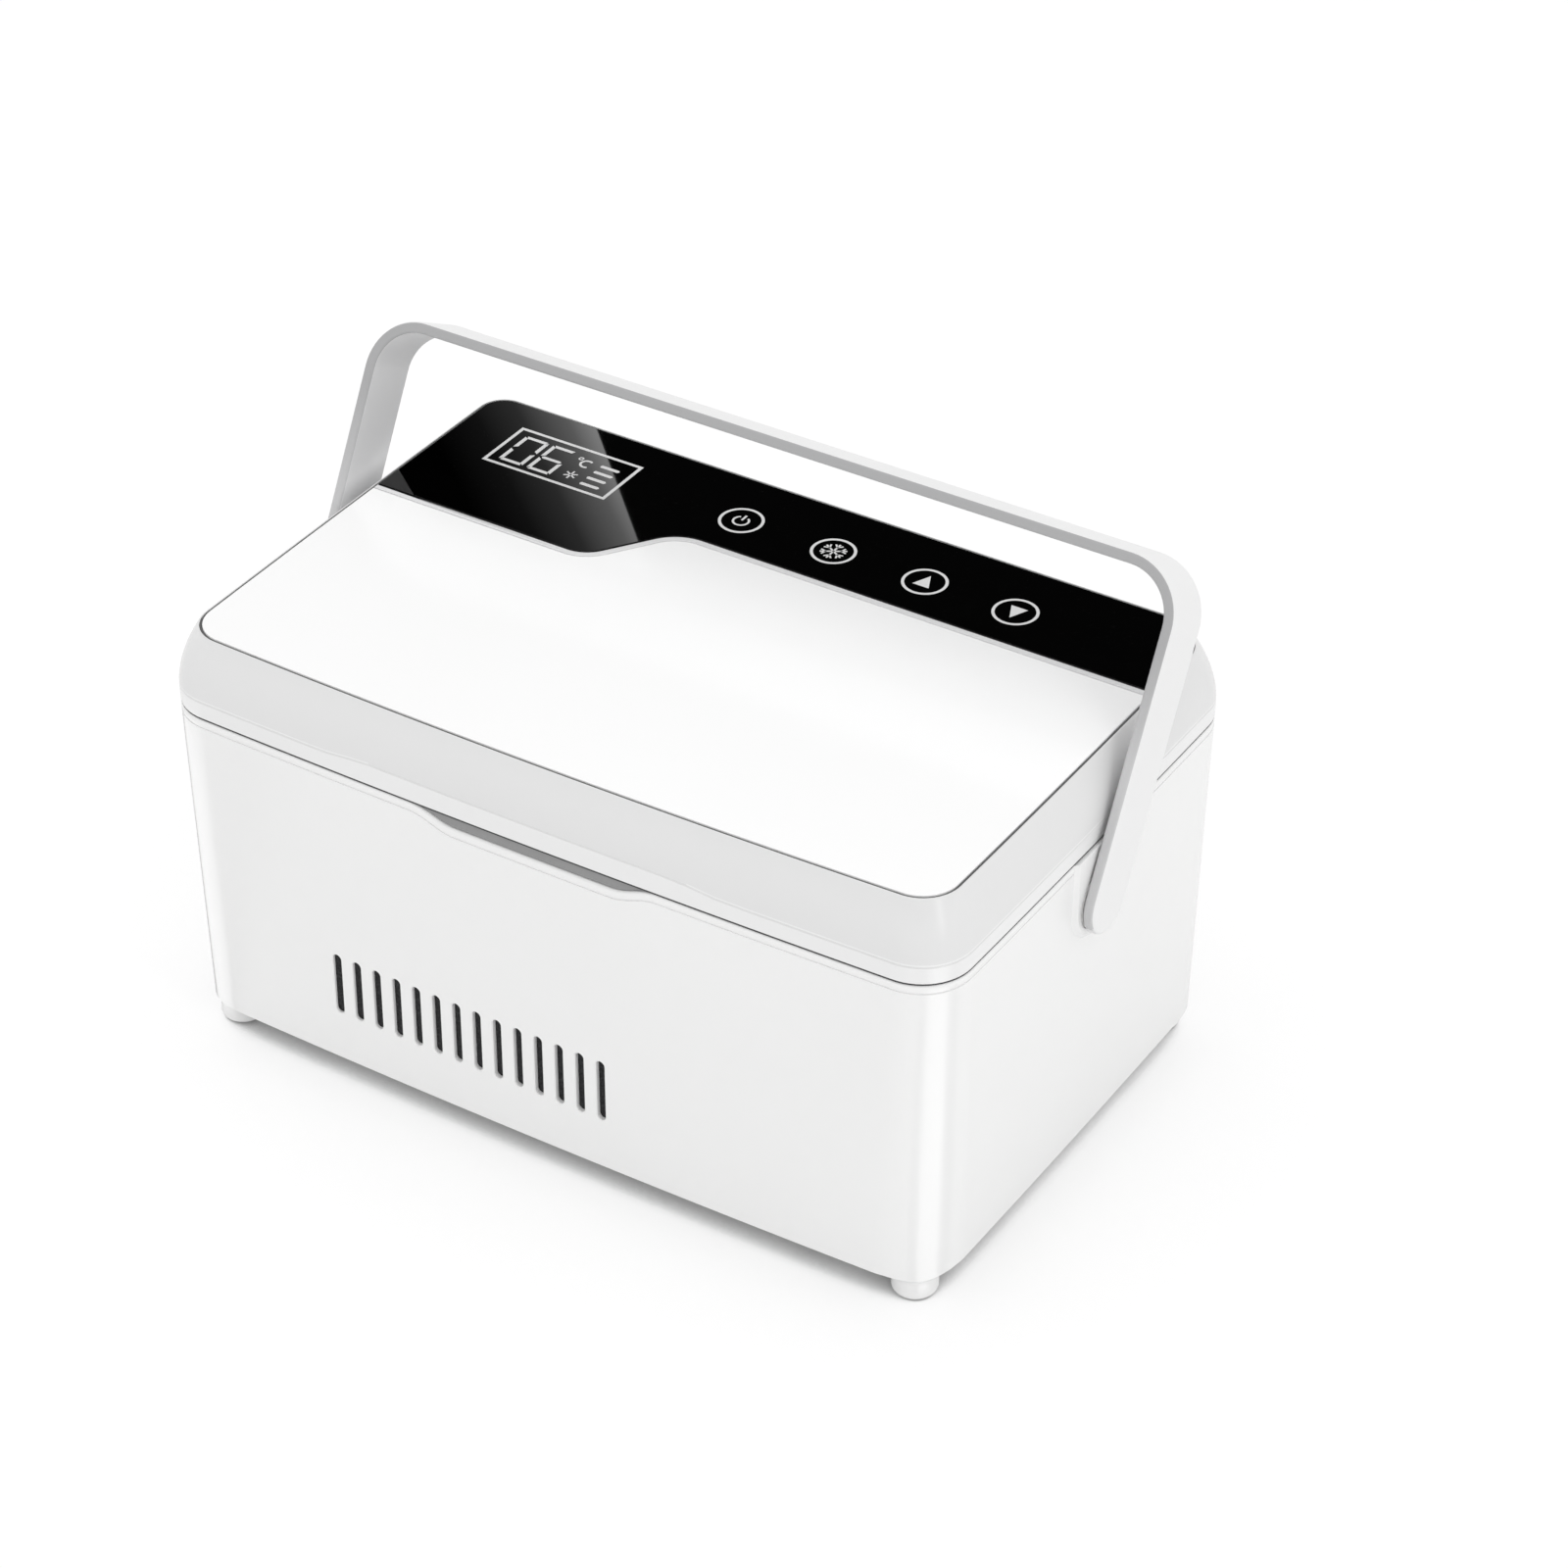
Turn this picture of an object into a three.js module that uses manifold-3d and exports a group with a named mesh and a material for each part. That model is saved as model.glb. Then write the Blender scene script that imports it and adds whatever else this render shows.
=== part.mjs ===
import * as THREE from 'three';
import { mergeVertices } from 'three/addons/utils/BufferGeometryUtils.js';
import Module from 'manifold-3d';

// A portable cooling case for insulin pens: a moulded case with a cold chamber, a hinged lid with a
// control panel, and a carrying handle. Millimetres, X to the right, Y to the rear, Z up, feet on zero.

const wasm = await Module();
wasm.setup();

// Driving sizes of the whole object
const caseWidth = 240;
const caseDepth = 152;
const caseHeight = 95;
const sideDraft = 3;
const footHeight = 10;
const lidHeight = 21.6;
const wall = 2.5;
const seamGap = 0.4;
const fitGap = 0.3;
const overrun = 1;
const frontCrown = 1.5;
const sideCrown = 0.3;
const seamRadius = 14.5;
const baseRadius = 17.5;

// Levels that several pieces share
const baseWidth = caseWidth - sideDraft;
const seam = footHeight + caseHeight;
const lidBottom = seam + seamGap;
const lidTop = lidBottom + lidHeight;
const frontFace = -(caseDepth / 2 + frontCrown);

// Finishes
const finish = {
  white: { color: 0xf4f4f4, roughness: 0.35, metalness: 0 },
  gloss: { color: 0xffffff, roughness: 0.12, metalness: 0 },
  black: { color: 0x050505, roughness: 0.06, metalness: 0 },
  silver: { color: 0xb9babc, roughness: 0.3, metalness: 0.9 },
  aluminium: { color: 0xc9cbcd, roughness: 0.35, metalness: 0.9 },
  steel: { color: 0x9b9da0, roughness: 0.3, metalness: 1 },
  foam: { color: 0xeeeae0, roughness: 0.95, metalness: 0 },
  rubber: { color: 0x2b2b2d, roughness: 0.8, metalness: 0 },
  dark: { color: 0x1d1e20, roughness: 0.55, metalness: 0 },
  board: { color: 0x14502c, roughness: 0.5, metalness: 0 },
  ceramic: { color: 0xf1efe9, roughness: 0.6, metalness: 0 },
  cell: { color: 0x2f6fb0, roughness: 0.4, metalness: 0 },
  red: { color: 0xb3201c, roughness: 0.5, metalness: 0 },
};

// Turns a closed geometry into a solid that can be joined and cut
function solid(geometry) {
  const plain = geometry.clone();
  plain.deleteAttribute('normal');
  plain.deleteAttribute('uv');
  const merged = mergeVertices(plain);
  return new wasm.Manifold(new wasm.Mesh({
    numProp: 3,
    vertProperties: new Float32Array(merged.attributes.position.array),
    triVerts: new Uint32Array(merged.index.array),
  }));
}

function geometryOf(body) {
  const mesh = body.getMesh();
  const geometry = new THREE.BufferGeometry();
  geometry.setAttribute('position', new THREE.BufferAttribute(new Float32Array(mesh.vertProperties), 3));
  geometry.setIndex(new THREE.BufferAttribute(new Uint32Array(mesh.triVerts), 1));
  geometry.computeVertexNormals();
  return geometry;
}

const join = (first, ...others) => others.reduce((sum, other) => sum.add(other), first);
const cut = (first, ...others) => others.reduce((rest, other) => rest.subtract(other), first);

// The object's nodes, by the body that they move with
const bodies = {
  frame: new THREE.Group(),
  lid: new THREE.Group(),
  handle: new THREE.Group(),
  rotor: new THREE.Group(),
};

function node(body, name, shape, look) {
  const mesh = new THREE.Mesh(geometryOf(shape), new THREE.MeshStandardMaterial(look));
  mesh.name = name;
  bodies[body].add(mesh);
}

// A rounded rectangle whose front and sides swell a little, with the same count of points at any size
const cornerSteps = 5;
const frontSteps = 6;
const sideSteps = 2;

function outline({ width, depth, radius, rearRadius = radius, crown = 0, bulge = 0, centre = 0, middle = 0 }) {
  const points = [];
  const halfX = width / 2 - radius;
  const halfY = depth / 2 - radius;
  const rearX = width / 2 - rearRadius;
  const rearY = depth / 2 - rearRadius;
  const swell = share => 1 - (2 * share - 1) ** 2;
  const corner = (x, y, bend, start) => {
    for (let step = 0; step < cornerSteps; step += 1) {
      const angle = start + (Math.PI / 2) * (step / cornerSteps);
      points.push([x + bend * Math.cos(angle) + centre, y + bend * Math.sin(angle) + middle]);
    }
  };
  const side = (from, to, out, height, steps) => {
    for (let step = 0; step < steps; step += 1) {
      const share = step / steps;
      const lift = height * swell(share);
      points.push([
        from[0] + (to[0] - from[0]) * share + out[0] * lift + centre,
        from[1] + (to[1] - from[1]) * share + out[1] * lift + middle,
      ]);
    }
  };
  side([-halfX, -halfY - radius], [halfX, -halfY - radius], [0, -1], crown, frontSteps);
  corner(halfX, -halfY, radius, -Math.PI / 2);
  side([halfX + radius, -halfY], [halfX + radius, rearY], [1, 0], bulge, sideSteps);
  corner(rearX, rearY, rearRadius, 0);
  side([rearX, rearY + rearRadius], [-rearX, rearY + rearRadius], [0, 1], 0, sideSteps);
  corner(-rearX, rearY, rearRadius, Math.PI / 2);
  side([-halfX - radius, rearY], [-halfX - radius, -halfY], [-1, 0], bulge, sideSteps);
  corner(-halfX, -halfY, radius, Math.PI);
  return points;
}

// A closed body that runs through a stack of such outlines
function loft(levels) {
  const rings = levels.map(outline);
  const count = rings[0].length;
  const vertices = rings.flatMap((ring, level) => ring.flatMap(([x, y]) => [x, y, levels[level].z]));
  const faces = [];
  for (let level = 0; level + 1 < rings.length; level += 1) {
    for (let point = 0; point < count; point += 1) {
      const a = level * count + point;
      const b = level * count + ((point + 1) % count);
      faces.push(a, b, b + count, a, b + count, a + count);
    }
  }
  const bottom = vertices.length / 3;
  for (const { z, centre = 0, middle = 0 } of [levels[0], levels[levels.length - 1]]) {
    vertices.push(centre, middle, z);
  }
  const start = (rings.length - 1) * count;
  for (let point = 0; point < count; point += 1) {
    const next = (point + 1) % count;
    faces.push(bottom, next, point, bottom + 1, start + point, start + next);
  }
  const geometry = new THREE.BufferGeometry();
  geometry.setAttribute('position', new THREE.BufferAttribute(new Float32Array(vertices), 3));
  geometry.setIndex(faces);
  return solid(geometry);
}

const prism = (form, low, high) => loft([{ ...form, z: low }, { ...form, z: high }]);

function block([x0, x1], [y0, y1], [z0, z1]) {
  const geometry = new THREE.BoxGeometry(x1 - x0, y1 - y0, z1 - z0);
  geometry.translate((x0 + x1) / 2, (y0 + y1) / 2, (z0 + z1) / 2);
  return solid(geometry);
}

// A drawn shape pulled along one axis, its own x and y lying on the two others
const alongY = new THREE.Matrix4().makeBasis(
  new THREE.Vector3(1, 0, 0), new THREE.Vector3(0, 0, 1), new THREE.Vector3(0, -1, 0));
const alongX = new THREE.Matrix4().makeBasis(
  new THREE.Vector3(0, 1, 0), new THREE.Vector3(0, 0, 1), new THREE.Vector3(1, 0, 0));

function pull(shape, length, { turn = null, at = [0, 0, 0], steps = 3 } = {}) {
  const geometry = new THREE.ExtrudeGeometry(shape, { depth: length, bevelEnabled: false, curveSegments: steps });
  if (turn) {
    geometry.applyMatrix4(turn);
  }
  geometry.translate(...at);
  return solid(geometry);
}

const drawn = points => new THREE.Shape(points.map(([x, y]) => new THREE.Vector2(x, y)));

function stadium(width, length) {
  const straight = (length - width) / 2;
  const shape = new THREE.Shape();
  shape.absarc(0, straight, width / 2, 0, Math.PI, false);
  shape.absarc(0, -straight, width / 2, Math.PI, 2 * Math.PI, false);
  return shape;
}

// A turned piece: its profile is [radius, height] pairs, closed on the axis
const roundSteps = 16;
const small = { steps: 8 };

function turned(profile, [x, y, z], { axis = 'z', steps = roundSteps } = {}) {
  const geometry = new THREE.LatheGeometry(profile.map(([r, h]) => new THREE.Vector2(r, h)), steps);
  if (axis === 'z') {
    geometry.rotateX(Math.PI / 2);
  }
  if (axis === 'x') {
    geometry.rotateZ(-Math.PI / 2);
  }
  geometry.translate(x, y, z);
  return solid(geometry);
}

const rod = (radius, [low, high], centre, options) =>
  turned([[0, low], [radius, low], [radius, high], [0, high]], centre, options);

// Where the case stands at a given height, with its wall taken off on request
function caseSection(z, inset = 0) {
  const rise = (z - footHeight) / caseHeight;
  return {
    z,
    width: baseWidth + (caseWidth - baseWidth) * rise - 2 * inset,
    depth: caseDepth - 2 * inset,
    radius: baseRadius + (seamRadius - baseRadius) * rise - inset,
    crown: frontCrown,
    bulge: sideCrown,
  };
}

const rearInside = caseDepth / 2 - wall;

// Sizes of the pieces, each group set against the one that carries it

const lip = { height: 1.1, inset: 0.7 };
const notch = { width: 76, depth: 3.4, run: 14, cut: 1.6, steps: 8 };
const vent = { count: 14, pitch: 6.52, width: 2.4, length: 19.2, centreX: -22.8, lift: 24.6 };
const foot = { radius: 6.2, margin: 1.2, chamfer: 1.5, above: 4, clear: 0.4, padRadius: 4, padDepth: 0.6 };
const boss = { radius: 4.5, fromSide: 28, sink: 0.8, pilotDepth: 14 };
const pivot = { y: 0.5, drop: 16.5, pinRadius: 2.5, headRadius: 4.2, head: 2.2 };
const pocket = { radius: 10, depth: 2, padThickness: 3.5, padHalf: 14, padDrop: 15 };
const base = { thickness: 3 };
const grille = { count: 9, pitch: 5.2, width: 2.6, length: 44 };

const screw = { radius: 1.2, head: 2.8, headHeight: 1.7, length: 12, tipClear: 3 };
const peg = { radius: 1.3, reach: 1.2 };

const stackX = vent.centreX;
const stackY = -18;
const fan = {
  side: 60, height: 10, corner: 4, bore: 28, holeAt: 25, hub: 10.4, web: 1.6, arm: 3, arms: 3, armTurn: 0.26,
  rotor: 27, cup: 12, cupWall: 1.3, blades: 7, bladeThick: 1.1, bladeTilt: 0.62, bladeHeight: 5,
  shaft: 1.2, stator: 9.2,
};
const sink = { width: 76, depth: 66, base: 4, fin: 13.5, finThick: 1.3, fins: 17 };
const module = { side: 40, height: 3.6 };
const coldBlock = { side: 58, screwAt: 24 };
const foam = { padGap: 3.5, thickness: 9, sides: 11, ends: 11.1, radius: 12, lift: 36, rearGap: 0.4 };
const liner = { radius: 12, sheet: 1.2, flange: 5 };
const rim = { thickness: 2.3, mouthInset: 0.6 };
const seal = { width: 2.4, height: 1.4, depth: 1.2, inset: 2.2 };
const magnet = { radius: 3, height: 1.2, xShare: 0.2583, fromWall: 4.2 };
const sensor = { radius: 2.4, length: 8, reach: 3, x: 40, drop: 22, collar: 3.6, collarHeight: 1 };

const cell = {
  radius: 9.2, length: 65, pitch: 20.5, xShare: 0.1333, fromFront: 23.5, floor: 1.5, cap: 2.6, capHeight: 1,
};
const holder = { side: 1.6, height: 9 };
const board = {
  sideGap: 3.5, width: 54, rearGap: 3.5, depth: 56, thickness: 1.6, standoff: 5, post: 2.4, corner: 4,
};
const jack = { along: 30, width: 10, depth: 14, height: 11, collar: 4.4, socket: 3.1, pin: 1, socketDepth: 9 };

const hinge = { xShare: 0.2917, radius: 3, pin: 1, hole: 1.3, middle: 12, outer: 8, web: 7.5 };
const hingeY = caseDepth / 2 + hinge.radius + seamGap;
const hingeZ = seam + seamGap / 2;

const lidCurve = {
  depth: 15.5, side: 5.1, front: 6, rear: 2.5, cornerRadius: 11.1, rearRadius: 7.5, crown: 2.1, power: 2,
};
const plate = { thickness: 2, groove: 0.75, rim: 0.35, deck: 2.4, rimDrop: 0.3 };
const split = {
  leftFromRear: 59.8, rightFromRear: 37.1, fromSide: 68.5, lowRadius: 10, highRadius: 14, angle: 0.96, trim: 1.8,
};
const screen = { fromSide: 42.5, fromRear: 24, width: 40.6, depth: 19.8, clear: 0.6 };
const keys = { xShares: [-0.0817, 0.0404, 0.1592, 0.2746], fromRear: 23.1, radius: 4, clear: 0.6 };
const touch = { left: 1.2, right: 8.1, front: 11.9, rear: 11.1, drop: 3.4, thickness: 1.6, postGap: 12.2, post: 2.8 };
const lidLiner = { sheet: 1.6, lift: 0.3 };
const lidFoam = { sides: 21, ends: 20, height: 8, radius: 8 };
const lidBoss = { fromSide: 16, fromEnd: 14, radius: 4 };

const handle = { sideGap: 1.8, strap: 3.1, width: 18.2, reach: 87.9, lean: 28.4, corner: 16, edge: 0.7, skin: 1.2 };
const bush = { radius: 8.5 };

// Levels that follow from the case's height
const pivotZ = seam - pivot.drop;
const ventZ = footHeight + vent.lift;
const foamBottom = footHeight + foam.lift;

// Levels of the stack under the chamber
const baseTop = footHeight + base.thickness;
const fanBottom = baseTop + fitGap;
const fanTop = fanBottom + fan.height;
const sinkBottom = fanTop + fitGap;
const sinkPlate = sinkBottom + sink.fin;
const sinkTop = sinkPlate + sink.base;
const moduleBottom = sinkTop + fitGap;
const moduleTop = moduleBottom + module.height;
const foamFloor = foamBottom + foam.thickness;
const linerBottom = foamFloor + fitGap;
const boardBottom = baseTop + board.standoff;
const boardTop = boardBottom + board.thickness;
const partsBottom = boardTop + fitGap;
const jackZ = partsBottom + jack.height / 2;
const rimTop = seam - fitGap / 2;
const rimBottom = rimTop - rim.thickness;
const flangeTop = rimBottom - fitGap;
const flangeBottom = flangeTop - liner.sheet;

// Places that follow from the case's width and depth
const halfWidth = caseWidth / 2;
const halfDepth = caseDepth / 2;
const bossX = halfWidth - boss.fromSide;
const pocketFloor = halfWidth - pocket.depth;
const padFace = pocketFloor - pocket.padThickness;
const foamForm = { width: 2 * (padFace - foam.padGap), depth: 2 * (rearInside - foam.rearGap), radius: foam.radius };
const linerForm = {
  width: foamForm.width - 2 * foam.sides, depth: foamForm.depth - 2 * foam.ends, radius: liner.radius,
};
const magnetX = caseWidth * magnet.xShare;
const cellX = caseWidth * cell.xShare;
const boardX = bossX - boss.radius - board.sideGap - board.width;
const boardY = rearInside - board.rearGap - board.depth;
const jackX = boardX + jack.along;
const hingeX = caseWidth * hinge.xShare;
const splitLeft = halfDepth - split.leftFromRear;
const splitRight = halfDepth - split.rightFromRear;
const splitX = split.fromSide - halfWidth;
const screenX = screen.fromSide - halfWidth;
const screenY = halfDepth - screen.fromRear;
const screenRight = screenX + screen.width / 2;
const keyXs = keys.xShares.map(share => caseWidth * share);
const [powerX, modeX, upX, downX] = keyXs;
const keyY = halfDepth - keys.fromRear;
const postXs = [screenRight + touch.postGap, (modeX + upX) / 2, (upX + downX) / 2];
const lidBossX = halfWidth - lidBoss.fromSide;
const lidBossY = halfDepth - lidBoss.fromEnd;
const handleOuter = halfWidth + handle.sideGap + handle.strap;
const handleInner = handleOuter - handle.strap;
const bushFace = pocketFloor + seamGap;

const pocketFace = side => side * pocketFloor;
const span = (a, b) => [Math.min(a, b), Math.max(a, b)];

// Lower case: one moulding with the air slots, a finger scoop in the front rim, the pivot pockets and the feet

const footReach = (baseRadius - foot.radius - foot.margin) / Math.SQRT2;
const footX = baseWidth / 2 - baseRadius + footReach;
const footY = caseDepth / 2 - baseRadius + footReach;
const corners = [[-1, -1], [1, -1], [1, 1], [-1, 1]];
const bossY = rearInside - boss.radius + boss.sink;

function airSlots(yFrom, yTo) {
  const tools = [];
  for (let index = 0; index < vent.count; index += 1) {
    const x = vent.centreX + (index - (vent.count - 1) / 2) * vent.pitch;
    const at = [x, yTo, ventZ];
    tools.push(pull(stadium(vent.width, vent.length), yTo - yFrom, { turn: alongY, at, steps: 2 }));
  }
  return tools;
}

function notchTool() {
  const half = notch.width / 2;
  const points = [[-half, seam + overrun]];
  for (let step = 0; step <= notch.steps; step += 1) {
    const share = step / notch.steps;
    points.push([-half + notch.run * share, seam - notch.depth * (1 - Math.cos(Math.PI * share)) / 2]);
  }
  const mirrored = points.slice().reverse().map(([x, z]) => [-x, z]);
  const depth = notch.cut + overrun;
  return pull(drawn([...points, ...mirrored]), depth, { turn: alongY, at: [0, frontFace + notch.cut, 0] });
}

function pocketTool(side) {
  const shape = new THREE.Shape();
  const top = seam + overrun - pivotZ;
  shape.moveTo(pocket.radius, top);
  shape.lineTo(-pocket.radius, top);
  shape.absarc(0, 0, pocket.radius, Math.PI, 2 * Math.PI, false);
  const [low] = span(pocketFace(side), side * (caseWidth / 2 + sideCrown + overrun));
  const length = caseWidth / 2 + sideCrown + overrun - pocketFloor;
  return pull(shape, length, { turn: alongX, at: [low, pivot.y, pivotZ], steps: 5 });
}

function pocketPad(side, extra = 0) {
  const inner = side * (padFace - extra);
  const outer = side * (pocketFloor + overrun / 2);
  return block(
    span(inner, outer),
    [pivot.y - pocket.padHalf - extra, pivot.y + pocket.padHalf + extra],
    [pivotZ - pocket.padDrop, seam + (extra > 0 ? overrun : 0)]);
}

function footPost(sx, sy) {
  const low = foot.clear;
  const high = footHeight + foot.above;
  const profile = [
    [0, low], [foot.radius - foot.chamfer, low], [foot.radius, low + foot.chamfer], [foot.radius, high], [0, high],
  ];
  return turned(profile, [sx * footX, sy * footY, 0]);
}

function knuckle(x, length, upward) {
  const wallY = caseDepth / 2;
  const lean = upward ? 1 : -1;
  const tip = hingeZ + lean * seamGap;
  const shape = drawn([
    [wallY - wall / 2, tip], [wallY - wall / 2, tip + lean * hinge.web], [wallY, tip + lean * hinge.web],
    [hingeY + hinge.radius * Math.SQRT1_2, hingeZ + lean * hinge.radius * Math.SQRT1_2], [hingeY, tip],
  ]);
  const web = pull(shape, length, { turn: alongX, at: [x - length / 2, 0, 0] });
  const barrel = rod(hinge.radius, [-length / 2, length / 2], [x, hingeY, hingeZ], { axis: 'x', steps: 12 });
  const bore = rod(hinge.hole, [-length, length], [x, hingeY, hingeZ], { axis: 'x', steps: 10 });
  return { body: web.add(barrel), bore };
}

const outerKnuckleX = hingeX + hinge.middle / 2 + seamGap + hinge.outer / 2;
const innerKnuckleX = hingeX - hinge.middle / 2 - seamGap - hinge.outer / 2;

function lowerCase() {
  const outside = loft([
    caseSection(footHeight), caseSection(seam - lip.height), caseSection(seam - lip.height / 3, lip.inset / 3),
    caseSection(seam, lip.inset),
  ]);
  const inside = loft([caseSection(footHeight - overrun, wall), caseSection(seam + overrun, wall)]);
  let body = cut(outside, inside);
  const bossBottom = baseTop + fitGap;
  for (const [sx, sy] of corners) {
    const at = [sx * bossX, sy * bossY, 0];
    body = body.add(footPost(sx, sy));
    body = body.add(rod(boss.radius, [bossBottom, foamBottom - fitGap], at));
    body = cut(body, rod(screw.radius + fitGap, [bossBottom - overrun, bossBottom + boss.pilotDepth], at, small));
    const pad = rod(foot.padRadius, [foot.clear - overrun, foot.clear + foot.padDepth], [sx * footX, sy * footY, 0]);
    body = cut(body, pad);
  }
  for (const side of [-1, 1]) {
    body = cut(body.add(pocketPad(side)), pocketTool(side));
    const bore = rod(pivot.pinRadius + fitGap, [-pocket.radius, pocket.radius], [pocketFace(side), pivot.y, pivotZ],
      { axis: 'x', steps: 16 });
    body = cut(body, bore);
    for (const x of [outerKnuckleX, innerKnuckleX]) {
      const { body: arm, bore: hole } = knuckle(side * x, hinge.outer, false);
      body = cut(body.add(arm), hole);
    }
  }
  const inletSpan = [rearInside - overrun, halfDepth + overrun];
  const inlet = rod(jack.collar + fitGap, inletSpan, [jackX, 0, jackZ], { axis: 'y' });
  const frontSlots = airSlots(frontFace - overrun, -rearInside + overrun);
  const rearSlots = airSlots(rearInside - overrun, halfDepth + overrun);
  return cut(body, notchTool(), inlet, ...frontSlots, ...rearSlots);
}

node('frame', 'lower_case', lowerCase(), finish.white);

// Foot pads, let into the moulded feet
const cornerNames = ['front_left', 'front_right', 'rear_right', 'rear_left'];
corners.forEach(([sx, sy], index) => {
  const pad = rod(foot.padRadius - fitGap, [0, foot.clear + foot.padDepth - fitGap], [sx * footX, sy * footY, 0]);
  node('frame', `foot_pad_${cornerNames[index]}`, pad, finish.rubber);
});

// Flat-headed screws that point up out of their heads
function headedScrew(place, length) {
  const { radius, head, headHeight } = screw;
  const profile = [[0, 0], [head, 0], [head, headHeight], [radius, headHeight], [radius, length], [0, length]];
  return turned(profile, place, small);
}

function screwHole([x, y, z], depth) {
  const seat = rod(screw.head + fitGap, [-overrun, screw.headHeight + fitGap], [x, y, z], small);
  return seat.add(rod(screw.radius + fitGap, [0, depth + overrun], [x, y, z], small));
}

// Base plate: closes the case from below, and its pegs carry the fan and the power board
const fanHoles = corners.map(([sx, sy]) => [stackX + sx * fan.holeAt, stackY + sy * fan.holeAt]);
const boardPosts = corners.map(([sx, sy]) => [
  boardX + board.width / 2 + sx * (board.width / 2 - board.corner),
  boardY + board.depth / 2 + sy * (board.depth / 2 - board.corner),
]);

function basePlate() {
  let body = prism(caseSection(footHeight, wall + fitGap), footHeight, baseTop);
  for (const [sx, sy] of corners) {
    const at = [sx * footX, sy * footY, 0];
    body = cut(body, rod(foot.radius + fitGap, [0, baseTop + overrun], at));
    body = cut(body, screwHole([sx * bossX, sy * bossY, footHeight], base.thickness));
  }
  for (let index = 0; index < grille.count; index += 1) {
    const x = stackX + (index - (grille.count - 1) / 2) * grille.pitch;
    const at = [x, stackY, footHeight - overrun];
    body = cut(body, pull(stadium(grille.width, grille.length), base.thickness + 2 * overrun, { at, steps: 2 }));
  }
  for (const [x, y] of fanHoles) {
    body = body.add(rod(peg.radius, [footHeight, fanTop - overrun], [x, y, 0], small));
  }
  for (const [x, y] of boardPosts) {
    body = body.add(rod(board.post, [footHeight, boardBottom - fitGap], [x, y, 0], small));
    body = body.add(rod(peg.radius, [footHeight, boardTop + peg.reach], [x, y, 0], small));
  }
  return body;
}

node('frame', 'base_plate', basePlate(), finish.white);
corners.forEach(([sx, sy], index) => {
  const body = headedScrew([sx * bossX, sy * bossY, footHeight], screw.length);
  node('frame', `base_screw_${cornerNames[index]}`, body, finish.steel);
});

// Fan: a frame with a spider under the hub, a wound stator on it, and the bladed cup that turns
function fanFrame() {
  const form = { width: fan.side, depth: fan.side, radius: fan.corner, centre: stackX, middle: stackY };
  let body = prism(form, fanBottom, fanTop);
  body = cut(body, rod(fan.bore, [fanBottom - overrun, fanTop + overrun], [stackX, stackY, 0], { steps: 32 }));
  for (let index = 0; index < fan.arms; index += 1) {
    const arm = new THREE.BoxGeometry(fan.bore + overrun, fan.arm, fan.web);
    arm.translate((fan.bore + overrun) / 2, 0, fanBottom + fan.web / 2);
    arm.rotateZ(fan.armTurn + (index * 2 * Math.PI) / fan.arms);
    arm.translate(stackX, stackY, 0);
    body = body.add(solid(arm));
  }
  body = body.add(rod(fan.hub, [fanBottom, fanBottom + fan.web], [stackX, stackY, 0]));
  for (const [x, y] of fanHoles) {
    body = cut(body, rod(peg.radius + fitGap, [fanBottom - overrun, fanTop + overrun], [x, y, 0], small));
  }
  return cut(body, shaftBore());
}

const shaftBore = () => rod(fan.shaft + fitGap, [footHeight, sinkTop], [stackX, stackY, 0], small);
const statorBottom = fanBottom + fan.web + fitGap;
const cupTop = fanTop - 2 * fitGap;
const statorTop = cupTop - fan.cupWall - 2 * fitGap;
const fanStator = () => cut(rod(fan.stator, [statorBottom, statorTop], [stackX, stackY, 0]), shaftBore());

function fanRotor() {
  const low = statorBottom + 2 * fitGap;
  const cup = rod(fan.cup, [low, cupTop], [stackX, stackY, 0]);
  const hollow = rod(fan.cup - fan.cupWall, [low - overrun, cupTop - fan.cupWall], [stackX, stackY, 0]);
  const blades = [];
  const reach = fan.rotor - fan.cup + fan.cupWall;
  for (let index = 0; index < fan.blades; index += 1) {
    const blade = new THREE.BoxGeometry(reach, fan.bladeThick, fan.bladeHeight);
    blade.rotateX(fan.bladeTilt);
    blade.translate(fan.rotor - reach / 2, 0, (low + cupTop) / 2);
    blade.rotateZ((index * 2 * Math.PI) / fan.blades);
    blade.translate(stackX, stackY, 0);
    blades.push(solid(blade));
  }
  return cut(join(cup, ...blades), hollow, shaftBore());
}

node('frame', 'fan_frame', fanFrame(), finish.dark);
node('frame', 'fan_stator', fanStator(), finish.steel);
node('rotor', 'fan_rotor', fanRotor(), finish.dark);
node('rotor', 'fan_shaft', rod(fan.shaft, [fanBottom, cupTop], [stackX, stackY, 0], small), finish.steel);

// Heat sink, thermoelectric module and cold block, clamped together by two screws
const clampPlaces = [-1, 1].map(side => [stackX + side * coldBlock.screwAt, stackY]);

function heatSink() {
  const halfX = sink.width / 2;
  const halfY = sink.depth / 2;
  let body = block([stackX - halfX, stackX + halfX], [stackY - halfY, stackY + halfY], [sinkPlate, sinkTop]);
  const pitch = (sink.width - sink.finThick) / (sink.fins - 1);
  for (let index = 0; index < sink.fins; index += 1) {
    const x = stackX - halfX + index * pitch;
    const fin = block([x, x + sink.finThick], [stackY - halfY, stackY + halfY], [sinkBottom, sinkPlate + overrun]);
    body = body.add(fin);
  }
  for (const [x, y] of clampPlaces) {
    body = cut(body, rod(screw.head + fitGap, [sinkBottom - overrun, sinkPlate + fitGap], [x, y, 0], small));
    body = cut(body, rod(screw.radius + fitGap, [sinkPlate, sinkTop + overrun], [x, y, 0], small));
  }
  return body;
}

const coldTop = linerBottom - fitGap;
const coldBottom = moduleTop + fitGap;

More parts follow.
